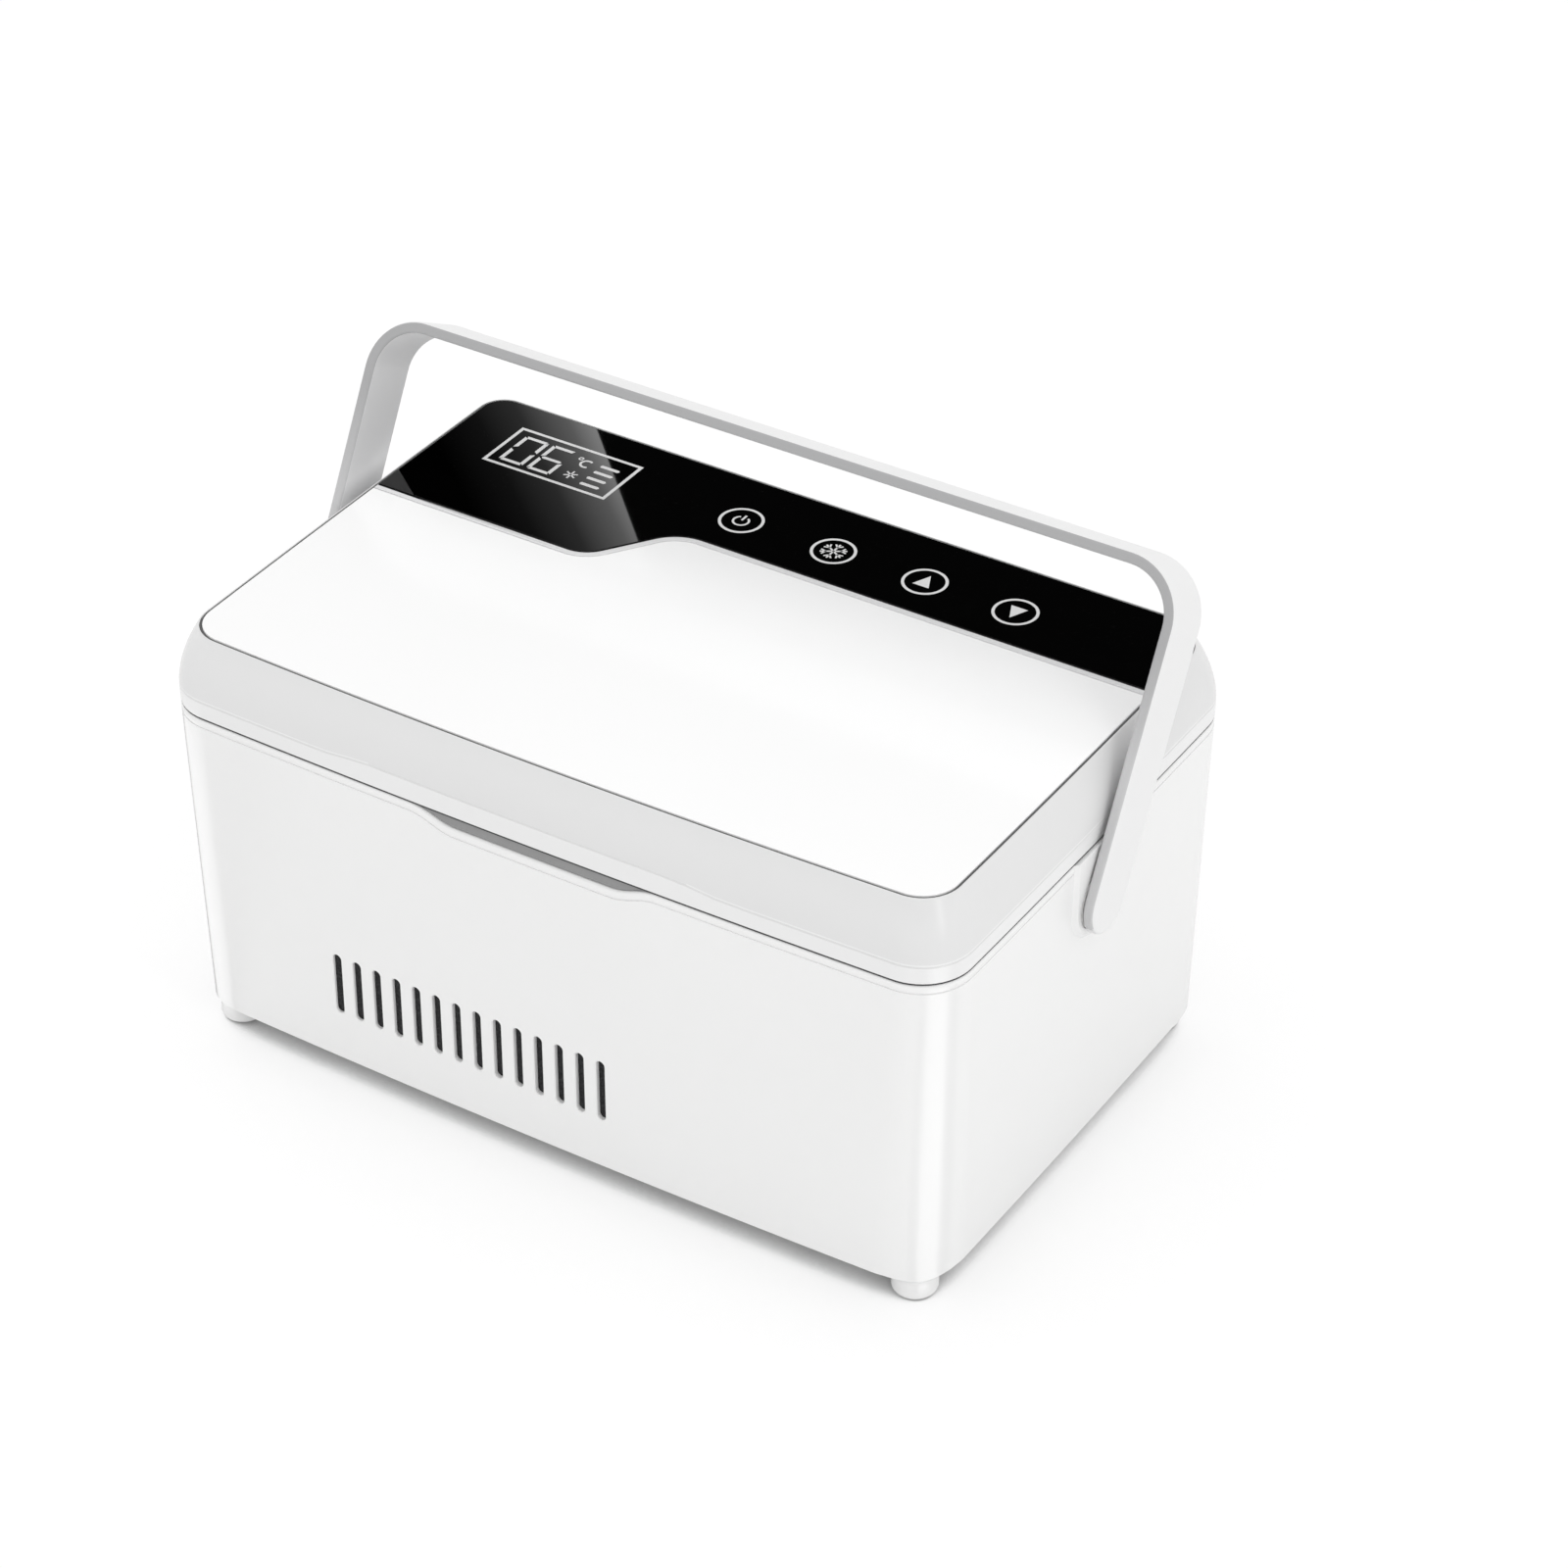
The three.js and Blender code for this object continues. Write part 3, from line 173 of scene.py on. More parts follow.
def add_object(name, points, faces):
    """A mesh object from points in millimetres, its faces turned outwards."""
    mesh = bpy.data.meshes.new(name)
    mesh.from_pydata([Vector(point) * mm for point in points], [], faces)
    shape = bmesh.new()
    shape.from_mesh(mesh)
    bmesh.ops.recalc_face_normals(shape, faces=shape.faces)
    shape.to_mesh(mesh)
    shape.free()
    made = bpy.data.objects.new(name, mesh)
    bpy.context.scene.collection.objects.link(made)
    return made


floor_reach, floor_glow, shadow_reach = 4000, 0.7, 0.03
floor_corners = [(x * floor_reach, y * floor_reach, 0) for x, y in ((-1, -1), (1, -1), (1, 1), (-1, 1))]
floor = add_object("floor", floor_corners, [(0, 1, 2, 3)])
floor_paper, _, floor_place = new_finish("white floor board", {"Roughness": 0.9, "Specular IOR Level": 0.0})
fibre = floor_place.node("TexNoise", {}, {"Vector": floor_place, "Scale": 900, "Detail": 3})
looked_at = floor_place.node("LightPath", {}, {}, "Is Camera Ray")
lit = floor_place.node("BsdfDiffuse", {}, {"Color": (0.9, 0.9, 0.9, 1)})
openness = floor_place.node("AmbientOcclusion", {"samples": 16}, {"Distance": shadow_reach}, "AO")
# Painted contact shadow: the floor's own light falls away where the occlusion round the case is high.
painted_contact_shadow = floor_place.node("ValToRGB", {"stops": [
    (0.1, 0.1), (0.245, 0.2), (0.27, 0.25), (0.293, 0.33), (0.309, 0.39), (0.326, 0.51), (0.34, 0.65),
    (0.38, 0.81), (0.41, 0.92), (0.45, 1.0)]}, {"Fac": openness})
tooth = floor_place.node("Bump", {}, {"Strength": 0.02, "Distance": 0.0001, "Height": fibre})
shown = floor_place.node("BsdfDiffuse", {}, {"Color": (0.98, 0.98, 0.98, 1), "Normal": tooth})
glow = floor_place.node("Emission", {}, {"Color": (1, 1, 1, 1), "Strength": painted_contact_shadow})
both = floor_place.node("MixShader", {}, {0: floor_glow, 1: shown, 2: glow})
surface = floor_place.node("MixShader", {}, {0: looked_at, 1: lit, 2: both})
feed(floor_paper.node_tree.nodes["Material Output"].inputs["Surface"], surface)
floor.data.materials.append(floor_paper)
floor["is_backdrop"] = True

# The panel card: a lit sheet of white board behind and to the left of the case, seen only in gloss.
# It puts the grey slanting reflection on the left part of the black panel, brightest at its top right.
def gloss_card(name, points, faces, light):
    """A card with its own light, which the camera sees only where it is mirrored."""
    card = add_object(name, points, faces)
    paper, shader, place = new_finish(name, {})
    feed(paper.node_tree.nodes["Material Output"].inputs["Surface"], light(place))
    card.data.materials.append(paper)
    card.visible_camera = card.visible_diffuse = card.visible_transmission = card.visible_shadow = False
    card.visible_volume_scatter = False
    card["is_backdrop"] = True


card_y, card_left, card_low, card_high, card_power = 700, -1300.0, 565.0, 657.0, 3.0
glow_way, glow_start = (8.2, 0.0, -4.6), 7.87


def slanting_light(place):
    """Light that grows across the card, along a slanting way and from its start there, in metres."""
    across = place.node("VectorMath", {"operation": "DOT_PRODUCT"}, {0: place, 1: glow_way}, "Value")
    fade = place.node("ValToRGB", {"stops": [
        (0.0, 0.0), (0.3, 0.02), (0.55, 0.09), (0.8, 0.38), (1.0, 1.0)]}, {"Fac": across + glow_start})
    return place.node("Emission", {}, {"Strength": fade * card_power})


panel_corners = ((-525.0, card_low), (-488.0, card_high), (card_left, card_high), (card_left, card_low))
gloss_card("panel card", [(x, card_y, z) for x, z in panel_corners], [(0, 1, 2, 3)], slanting_light)

# Cards on the floor, seen only in gloss. Mirrored in the rounded front corners, they draw the bright
# upright band on the near corner between two darker lines, and the light and dark lines on the far
# left corner.
corner_x, corner_y, corner_round, look_turn, card_reach = 104.0, -62.45, 16.2, 32.1, 152.0


def floor_fan(turns, middle_x):
    """The part of the floor mirrored towards the camera by these turns of a rounded front corner."""
    near, far = [], []
    for turn in turns:
        here, mirrored = math.radians(turn), math.radians(2 * turn - look_turn)
        x, y = middle_x + corner_round * math.sin(here), corner_y - corner_round * math.cos(here)
        near.append((x, y, 0.5))
        far.append((x + card_reach * math.sin(mirrored), y - card_reach * math.cos(mirrored), 0.5))
    return near + far[::-1], [tuple(range(2 * len(turns)))]


# Each card's corner, the turns of that corner which mirror it, and the strength of its light.
floor_cards = {
    "corner card": (corner_x, (38.7, 44, 49.5, 55, 60.3), 2.7),
    "left flag": (corner_x, (31, 35, 38.7), 0.1),
    "right flag": (corner_x, (60.3, 64, 68, 72), 0.1),
    "far corner edge": (-corner_x, (-72, -62, -52, -42), 0.02),
    "far corner card": (-corner_x, (-42, -34, -27), 1.45),
    "far corner glow": (-corner_x, (-27, -18, -9), 1.9),
    "far corner flag": (-corner_x, (-9, -5, -2.2), 0.1),
}
for card_name, (middle_x, turns, strength) in floor_cards.items():
    gloss_card(card_name, *floor_fan(turns, middle_x),
               lambda place: place.node("Emission", {}, {"Strength": strength}))

# Lower case: one white ABS moulding with drafted walls, a rounded lip under the seam, a finger
# notch in the front rim, air slots, two pivot pockets and four corner feet.
case_y = -2.45
foot_height, seam, wall = 10.0, 105.0, 2.5
case_width, base_width, case_depth = 240.0, 237.0, 152.0
seam_radius, base_radius, front_crown, side_crown = 14.5, 17.5, 1.5, 0.3
vent_count, vent_pitch, vent_width, vent_length, vent_x, vent_z = 14, 6.52, 2.6, 19.4, -22.8, 34.6
notch_half, notch_depth, notch_run = 38.0, 3.4, 14.0
pivot_y, pivot_z, pocket_radius, pocket_floor = 0.5, 88.5, 10.0, 118.0
corner_steps, side_steps = 14, 10

vent_lines = [vent_x + (index - vent_count / 2) * vent_pitch for index in range(vent_count + 1)]
notch_lines = [side * (notch_half - notch_run * step / 8) for side in (-1, 1) for step in range(9)]
plain_lines = [-96, -88, -80, -74, 46, 54, 62, 71, 80, 89, 96]
front_lines = []
for line in sorted(vent_lines + notch_lines + plain_lines):
    if not front_lines or line - front_lines[-1] > 0.45:
        front_lines.append(line)
front_half = 103.0
stations = [0.0] + [0.5 + line / (2 * front_half) for line in front_lines]


def arc(x, y, radius, start, end, steps=24):
    """Points on an arc between two turns in degrees, both ends among them."""
    turns = [math.radians(start + (end - start) * step / steps) for step in range(steps + 1)]
    return [(x + radius * math.cos(turn), y + radius * math.sin(turn)) for turn in turns]


def outline(width, depth, radius, crown, bulge, middle=0.0, rear_left=None, rear_right=None):
    """A rounded rectangle whose front and sides swell a little, from the front's left end round."""
    half_x, half_y = width / 2 - radius, depth / 2 - radius
    left_round, right_round = rear_left or radius, rear_right or radius
    right_x, right_y = width / 2 - right_round, depth / 2 - right_round
    left_x, left_y = width / 2 - left_round, depth / 2 - left_round
    swell = lambda share: 1 - (2 * share - 1) ** 2
    points = [(half_x * (2 * share - 1), -depth / 2 - crown * swell(share)) for share in stations]
    corner = lambda x, y, bend, start: points.extend(arc(x, y, bend, start, start + 90, corner_steps)[:-1])
    sides = [step / side_steps for step in range(side_steps)]
    corner(half_x, -half_y, radius, -90)
    points.extend((width / 2 + bulge * swell(share), (half_y + right_y) * share - half_y) for share in sides)
    corner(right_x, right_y, right_round, 0)
    points.extend((right_x - (right_x + left_x) * share, depth / 2) for share in stations)
    corner(-left_x, left_y, left_round, 90)
    points.extend((-width / 2 - bulge * swell(share), left_y - (half_y + left_y) * share) for share in sides)
    corner(-half_x, -half_y, radius, 180)
    return [(x, y + middle) for x, y in points]


def front_swell(x):
    """How far the front's wall swells out beside its ends."""
    return front_crown * (1 - (x / front_half) ** 2)


def ease(share):
    """A share from 0 to 1 that starts and ends softly."""
    share = min(1.0, max(0.0, share))
    return (1 - math.cos(math.pi * share)) / 2


def notch_fall(x):
    """How far the finger notch lies below the seam."""
    return notch_depth * ease((notch_half - abs(x)) / notch_run)


def case_ring(z, inset, dip=0.0):
    """The case's outline at a height, drawn in by the inset; dip lets it follow the finger notch."""
    rise = (z - foot_height) / (seam - foot_height)
    ring = outline(
        base_width + (case_width - base_width) * rise - 2 * inset, case_depth - 2 * inset,
        base_radius + (seam_radius - base_radius) * rise - inset, front_crown, side_crown)
    fall = lambda index, x: notch_fall(x) if index < len(stations) else 0.0
    return [(x, y + case_y, z - dip * fall(index, x)) for index, (x, y) in enumerate(ring)]


def stack(name, rings, closed=False):
    """A body that runs through a stack of rings with as many points each, capped or closed on itself."""
    count = len(rings[0])
    points = [point for ring in rings for point in ring]
    levels = [(level, (level + 1) % len(rings)) for level in range(len(rings) - (0 if closed else 1))]
    around = [(index, (index + 1) % count) for index in range(count)]
    faces = [(low * count + one, low * count + two, high * count + two, high * count + one)
             for low, high in levels for one, two in around]
    if not closed:
        faces += [tuple(range(count)), tuple(range((len(rings) - 1) * count, len(rings) * count))]
    return add_object(name, points, faces)


def carve(piece, tools, operation="DIFFERENCE"):
    """Cuts the tools from the piece, or joins them to it, and puts the tools away."""
    for tool in tools:
        step = piece.modifiers.new(tool.name, "BOOLEAN")
        step.operation, step.solver, step.object = operation, "EXACT", tool
    settle(piece)
    for tool in tools:
        bpy.data.objects.remove(tool)


def settle(piece):
    """Works the piece's modifiers into its mesh."""
    graph = bpy.context.evaluated_depsgraph_get()
    mesh = bpy.data.meshes.new_from_object(piece.evaluated_get(graph))
    piece.modifiers.clear()
    piece.data = mesh


def polish(piece, edge=32):
    """Smooth faces with crisp edges where the surface turns by more than the edge's angle."""
    piece.data.polygons.foreach_set("use_smooth", [True] * len(piece.data.polygons))
    piece.data.set_sharp_from_angle(angle=math.radians(edge))
    weighing = piece.modifiers.new("weighing", "WEIGHTED_NORMAL")
    weighing.keep_sharp, weighing.weight = True, 50
    settle(piece)


def turned(name, profile, centre, axis="Z", steps=40):
    """A round piece from pairs of radius and distance along its axis."""
    turns = [2 * math.pi * step / steps for step in range(steps)]
    spread = {"Z": lambda a, b, c: (a, b, c), "X": lambda a, b, c: (c, a, b),
              "Y": lambda a, b, c: (b, c, a)}[axis]
    rings = []
    for radius, along in profile:
        ring = [spread(radius * math.cos(turn), radius * math.sin(turn), along) for turn in turns]
        rings.append([(x + centre[0], y + centre[1], z + centre[2]) for x, y, z in ring])
    return stack(name, rings)


def slot_tools(outside, inside):
    """Air slots with eased mouths, from just outside the wall to its inner face."""
    points, faces = [], []
    steps, straight = 10, (vent_length - vent_width) / 2
    count = 2 * (steps + 1)
    for index in range(vent_count):
        x = vent_x + (index - (vent_count - 1) / 2) * vent_pitch
        face = outside * (case_depth / 2 + (front_swell(x) if outside < 0 else 0.0))
        start = len(points)
        for y, flare in ((face + outside * 0.9, 1.2), (face - outside * 0.3, 0.0), (inside, 0.0)):
            radius = vent_width / 2 + flare
            ends = arc(x, vent_z + straight, radius, 0, 180, steps) + arc(
                x, vent_z - straight, radius, 180, 360, steps)
            points += [(along, y + case_y, high) for along, high in ends]
        faces += [(low + n, low + (n + 1) % count, low + count + (n + 1) % count, low + count + n)
                  for low in (start, start + count) for n in range(count)]
        faces += [tuple(range(start, start + count)), tuple(range(start + 2 * count, start + 3 * count))]
    return add_object("slots", points, faces)


def u_ring(x, radius, top, steps):
    """A U round the handle's pivot, on a plane across X, with straight sides up to a top."""
    return [(x, y + pivot_y + case_y, z + pivot_z) for y, z in arc(0, 0, radius, 180, 360, steps) + [
        (radius, top - pivot_z), (-radius, top - pivot_z)]]


def pocket_tool(side):
    """The U-shaped pocket for the handle's bush, open at the top, its edge eased."""
    mouth = ((pocket_floor, 0), (119.5, 0), (120.3, 0.5), (121.5, 1.7))
    return stack("pocket", [u_ring(side * x, pocket_radius + grow, seam + 3, 20) for x, grow in mouth])


def span(middle, size):
    """The two ends of a size about its middle."""
    return middle - size / 2, middle + size / 2


def box_piece(name, x_span, y_span, z_span):
    """A plain block for cutting and joining."""
    (x0, x1), (y0, y1), (z0, z1) = x_span, y_span, z_span
    ring = lambda z: [(x0, y0, z), (x1, y0, z), (x1, y1, z), (x0, y1, z)]
    return stack(name, [ring(z0), ring(z1)])


hinge_y, hinge_z, hinge_x, knuckle_radius, hinge_bore = 79.4, 105.2, 70.0, 3.0, 1.3
knuckle_gap, knuckle_outer, knuckle_middle, knuckle_web, knuckle_ease = 0.4, 8.0, 12.0, 7.5, 0.3


def knuckle(name, x, length, lean):
    """One hinge knuckle with its web and the bore for its pin; lean is 1 on the lid, -1 on the case."""
    tip, root = hinge_z + lean * knuckle_gap, hinge_z + lean * (knuckle_gap + knuckle_web)
    back, diagonal = case_depth / 2, knuckle_radius * 0.7071
    web_points = [(back - wall / 2, tip), (back - wall / 2, root), (back, root),
                  (hinge_y + diagonal, hinge_z + lean * diagonal), (hinge_y, tip)]
    centre, half, eased = (x, hinge_y + case_y, hinge_z), length / 2, knuckle_radius - knuckle_ease
    web = stack(name + "_web", [[(x + end, y + case_y, z) for y, z in web_points] for end in (-half, half)])
    barrel = turned(name, [(eased, -half), (knuckle_radius, -half + knuckle_ease),
                           (knuckle_radius, half - knuckle_ease), (eased, half)], centre, "X")
    bore = turned(name + "_bore", [(hinge_bore, -length), (hinge_bore, length)], centre, "X", 24)
    carve(barrel, [web], "UNION")
    carve(barrel, [bore])
    return barrel


# The case's wall from the base up and back down inside: height above the feet, how far it is drawn
# in, and how much of the finger notch it follows.
outside_levels = [
    (-0.6, 0.4, 0), (-0.57, 0.2, 0), (-0.45, 0.06, 0), (-0.2, 0, 0), (7, 0, 0), (35, 0, 0), (65, 0, 0),
    (85, 0, 0.5), (91.9, 0, 1), (92.12, 0.02, 1), (92.2, 0.3, 1), (92.42, 0.36, 1), (92.54, 0.1, 1),
    (92.7, 0, 1), (93.6, 0, 1), (94.15, 0.07, 1), (94.5, 0.22, 1), (94.72, 0.42, 1), (94.82, 0.65, 1),
    (94.85, 0.9, 1),
]
inside_levels = [
    (94.85, 2.2, 1), (94.7, 2.45, 1), (94.4, wall, 1), (85, wall, 0.5), (45, wall, 0), (-0.4, wall, 0),
    (-0.6, 2.3, 0),
]
lower_case = stack("lower_case_shell", [case_ring(foot_height + level, inset, dip) for level, inset, dip
                                        in outside_levels + inside_levels], closed=True)
foot_radius = 6.2
foot_reach = (base_radius - foot_radius - 1.2) / math.sqrt(2)
foot_x, foot_y = base_width / 2 - base_radius + foot_reach, case_depth / 2 - base_radius + foot_reach
foot_profile = [
    (4.0, 1.0), (4.05, 0.4), (4.6, 0.4), (5.2, 0.52), (5.7, 0.85), (6.05, 1.35), (foot_radius, 2.0),
    (foot_radius, 5.4), (6.35, 6.6), (6.8, 7.6), (7.6, 8.4), (8.8, 9.1), (10.5, 9.6), (10.5, 14.0),
]
foot_limit = lambda z: [(x, y + case_y, z) for x, y in outline(
    base_width - 0.02, case_depth - 0.02, base_radius, front_crown, side_crown)]
case_joined = []
for sx, sy in ((-1, -1), (1, -1), (1, 1), (-1, 1)):
    foot_piece = turned("foot", foot_profile, (sx * foot_x, sy * foot_y + case_y, 0), "Z", 64)
    carve(foot_piece, [stack("foot_limit", [foot_limit(-1), foot_limit(20)])], "INTERSECT")
    case_joined.append(foot_piece)
pad_x, pad_thick, pad_width = 116.5, 4.0, 28.0
case_joined += [box_piece("pocket_pad", span(side * pad_x, pad_thick), span(pivot_y + case_y, pad_width),
                          (73.5, seam)) for side in (-1, 1)]
carve(lower_case, case_joined, "UNION")
slots_half, slots_rise, wall_behind = vent_count * vent_pitch / 2 + 2, vent_length / 2 + 3, case_depth / 2 - 0.1
recess_inner, rear_recess_outer = 72, 75
thinned_x, thinned_z = span(vent_x, 2 * slots_half), span(vent_z, 2 * slots_rise)
carve(lower_case, [box_piece("front_recess", thinned_x, (-wall_behind + case_y, -recess_inner + case_y), thinned_z),
                   box_piece("rear_recess", thinned_x, (recess_inner + case_y, rear_recess_outer + case_y),
                             thinned_z)])
inlet_x, inlet_z, inlet_profile = 60, 25.4, [(4.7, 73.0), (4.7, 75.75), (4.95, 76.0), (5.9, 77.0)]
pin_hole_radius = 2.8
case_cuts = [slot_tools(-1, -case_depth / 2 + wall - 1), slot_tools(1, case_depth / 2 - wall - 1)]
case_cuts += [pocket_tool(-1), pocket_tool(1), turned("inlet", inlet_profile, (inlet_x, case_y, inlet_z), "Y")]
case_cuts += [turned("pin_hole", [(pin_hole_radius, -6), (pin_hole_radius, 2)],
                     (side * pocket_floor, pivot_y + case_y, pivot_z), "X") for side in (-1, 1)]
carve(lower_case, case_cuts)
knuckle_step = knuckle_middle / 2 + knuckle_gap + knuckle_outer / 2
carve(lower_case, [knuckle("case_knuckle", side * hinge_x + end * knuckle_step, knuckle_outer, -1)
                   for side in (-1, 1) for end in (-1, 1)], "UNION")
polish(lower_case)


def mixed(share, first, second):
    """A colour between two others, by the share of the second."""
    return share.node("Mix", {"data_type": "RGBA"}, {0: share, 6: (*first, 1), 7: (*second, 1)}, 2)


def spots(place, size, detail=2.0):
    """Soft noise whose spots are about this many millimetres across."""
    return place.node("TexNoise", {}, {"Vector": place, "Scale": 1 / (size * mm), "Detail": detail}, 0)


def relief(place, height, depth, strength=1.0):
    """Small bumps of this depth in millimetres."""
    return place.node("Bump", {}, {"Strength": strength, "Distance": depth * mm, "Height": height})


def moulding(name, colour, shade, roughness, grain=0.5, depth=0.004):
    """Moulded plastic: a slow drift in tone and gloss, faint scuffs, and a fine grain in millimetres."""
    material, shader, place = new_finish(name, {"IOR": 1.46})
    drift = spots(place, 55, 2)
    scuffs = place.node("ValToRGB", {"stops": [(0.45, 0.0), (0.95, 1.0)]}, {"Fac": spots(place, 7, 3)})
    feed(shader.inputs["Base Color"], mixed(drift * 0.75 + scuffs * 0.25, colour, shade))
    feed(shader.inputs["Roughness"], roughness + (drift - 0.5) * 0.06)
    feed(shader.inputs["Normal"], relief(place, spots(place, grain, 3), depth, 0.35))
    return material


def dress(material, *names):
    """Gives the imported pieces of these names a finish."""
    for name in names:
        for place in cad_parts[name].material_slots:
            place.material = material


def family(first, *ends):
    """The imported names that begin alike, one for each end."""
    return [first + "_" + end for end in ends or ("left", "right")]


case_white = moulding("white case moulding", (0.86, 0.86, 0.858), (0.835, 0.835, 0.832), 0.24)
lower_case.data.materials.append(case_white)
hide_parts("lower_case")
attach(lower_case, "case")

# Pivot covers: U-shaped white plates that snap into the pockets round the handle's bushes, each with
# a bevelled rim that stands a little proud of the wall and catches the light.
cover_hole, cover_x, cover_top = 8.65, 119.5, seam - 0.2
# From the cover's back to its face: place across, radius, and how much lower the top is there.
cover_levels = [(118.2, 9.8, 0), (119.6, 9.8, 0), (119.2, 11.6, 0), (119.85, 11.6, 0), (119.95, 11.5, 0),
                (121.15, 10.3, 0), (121.3, 10.05, 0.15)]
for side in (-1, 1):
    cover = stack("pivot_cover_right" if side > 0 else "pivot_cover_left", [
        u_ring(side * x, radius, cover_top - lower, 24) for x, radius, lower in cover_levels])
    carve(cover, [turned("cover_hole", [(cover_hole, -4), (cover_hole, 4)],
                         (side * cover_x, pivot_y + case_y, pivot_z), "X")])
    polish(cover)
    cover.data.materials.append(case_white)
    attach(cover, "case")

# Slot shade sheets: two sheets of black open foam, cut to a rounded oblong. They are pressed into the
# thinned wall behind the air slots, in front and at the rear, and paint the shade inside the slots.
shade_sheet_face_plane, shade_sheet_back_plane = (-75.85, 74.95), (-75.15, 74.25)
slot_shade_foam, slot_shade_shader, slot_shade_place = new_finish(
    "black foam, painted slot shade", {"Roughness": 0.95, "Specular IOR Level": 0.1})
pores = slot_shade_place.node("TexVoronoi", {}, {"Vector": slot_shade_place, "Scale": 1400}, "Distance")
feed(slot_shade_shader.inputs["Base Color"], mixed(pores, (0.018, 0.018, 0.019), (0.05, 0.05, 0.052)))
feed(slot_shade_shader.inputs["Normal"], relief(slot_shade_place, pores, 0.3, 0.8))
for shade_sheet_name, face, back in zip(("front_slot_shade_sheet", "rear_slot_shade_sheet"), shade_sheet_face_plane, shade_sheet_back_plane):
    shade_sheet_form = lambda y, inset: [(x + vent_x, y + case_y, z + vent_z) for x, z in outline(
        2 * slots_half - 0.8 - 2 * inset, 2 * slots_rise - 0.8 - 2 * inset, 2.5 - inset, 0, 0)]
    slot_shade_sheet = stack(shade_sheet_name, [shade_sheet_form(face, 0.15), shade_sheet_form(face + (back - face) * 0.3, 0),
                                      shade_sheet_form(back, 0)])
    # The black foam is painted shade: it makes the slots show dark.
    slot_shade_sheet.data.materials.append(slot_shade_foam)
    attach(slot_shade_sheet, "case")

# Base plate and chamber rim: flat mouldings of the case's white plastic. The plate is screwed to the
# case from below, and the rim is pressed in round the chamber's mouth.
dress(case_white, "base_plate", "chamber_rim")

# Foot pads, chamber seal and key pads: soft dark rubber, dull and dusty on its outside. The pads and
# the seal are moulded pieces, pressed or glued into their seats.
def clouded(name, index, cloud, colour, shade, roughness, bumps, grain=None, gain=0.2):
    """A finish whose colour and gloss drift with one soft noise, over bumps of that noise or of a grain."""
    material, shader, place = new_finish(name, {"IOR": index})
    drift = spots(place, *cloud)
    feed(shader.inputs["Base Color"], mixed(drift, colour, shade))
    feed(shader.inputs["Roughness"], roughness + drift * gain)
    feed(shader.inputs["Normal"], relief(place, spots(place, *grain) if grain else drift, *bumps))
    return material


rubber = clouded("soft rubber", 1.5, (4, 4), (0.022, 0.022, 0.024), (0.05, 0.05, 0.052), 0.72, (0.02, 0.5),
                 (0.25, 2))
four_corners = ("front_left", "front_right", "rear_right", "rear_left")
dress(rubber, "chamber_seal", *family("foot_pad", *four_corners),
      *family("touch_pad", "power", "mode", "up", "down"))

# Lid shell: a white cap, upright just above the seam and then leaning in along a faint crease to a
# thin rim round the recess for the top sheets.
lid_top, rim_edge, rim_width, sheet_floor = 127.0, 126.7, 0.35, 124.7
lean_side, lean_front, lean_rear = 5.1, 6.0, 2.5
lean_crown, lean_radius, lean_left, lean_right = 2.1, 11.1, 7.5, 16.0
crease_z, crease_lift, crease_slope, full_lean = 110.7, 1.3, 0.18, 0.9617


def lid_outline(lean, inset):
    """The lid's outline where it leans in by this share, drawn in by the inset."""
    front, left, right = [seam_radius + (radius - seam_radius) * lean - inset
                          for radius in (lean_radius, lean_left, lean_right)]
    return outline(
        case_width - 2 * lean_side * lean - 2 * inset, case_depth - (lean_front + lean_rear) * lean - 2 * inset,
        front, front_crown + (lean_crown - front_crown) * lean, side_crown, (lean_front - lean_rear) / 2 * lean,
        left, right)


def lid_ring(z, inset, lean=0):
    """The lid's outline at a height."""
    return [(x, y + case_y, z) for x, y in lid_outline(lean, inset)]


def leaning_ring(share, inset=0.0, drop=0.0):
    """A ring from the crease, at share 0, to the rim, at share 1. The crease arches up along the front."""
    lean = full_lean * (crease_slope * share + (1 - crease_slope) * share ** 2)
    ring = []
    for index, (x, y) in enumerate(lid_outline(lean, inset)):
        arch = ease((x + 66) / 16) * ease((58 - x) / 16) if index < len(stations) else 0.0
        foot = crease_z + crease_lift * arch
        ring.append((x, y + case_y, foot + (rim_edge - foot) * share - drop))
    return ring


# The cap's wall from its inside down, round the lower edge, up past the crease and over the rim.
upright_levels = [
    (122.3, wall, 0.4855), (118, wall, 0.176), (113, wall, 0.0094), (107, wall), (105.7, wall), (105.42, 2.2),
    (105.4, 0.4), (105.42, 0.2), (105.48, 0.08), (105.6, 0.01), (105.9, 0), (109.8, 0),
]
leaning_levels = [(0, 0, 0.55), (0, 0.12, 0.4), (0, 0.15, 0.18), (0, 0.03, 0.02)]
leaning_levels += [(share,) for share in (
    0.03, 0.08, 0.15, 0.23, 0.32, 0.42, 0.52, 0.62, 0.72, 0.81, 0.89, 0.95, 0.985)]
leaning_levels += [(1, 0.08, 0.03), (1, 0.2), (1, 0.3, 0.02), (1, rim_width, 0.1),
                   (1, rim_width, rim_edge - sheet_floor)]
lid_shell = stack("lid_cap", [lid_ring(*level) for level in upright_levels]
                  + [leaning_ring(*level) for level in leaning_levels])
screen_x, screen_y, screen_width, screen_depth = -77.5, 52.0, 40.6, 19.8
key_xs, key_y = (-19.6, 9.7, 38.2, 65.9), 52.9
window_gap, key_hole_radius, cut_low, cut_high = 1.2, 4.6, 121, 125.5
lid_cuts = [box_piece("window", span(screen_x, screen_width + window_gap),
                      span(screen_y + case_y, screen_depth + window_gap), (cut_low, cut_high))]
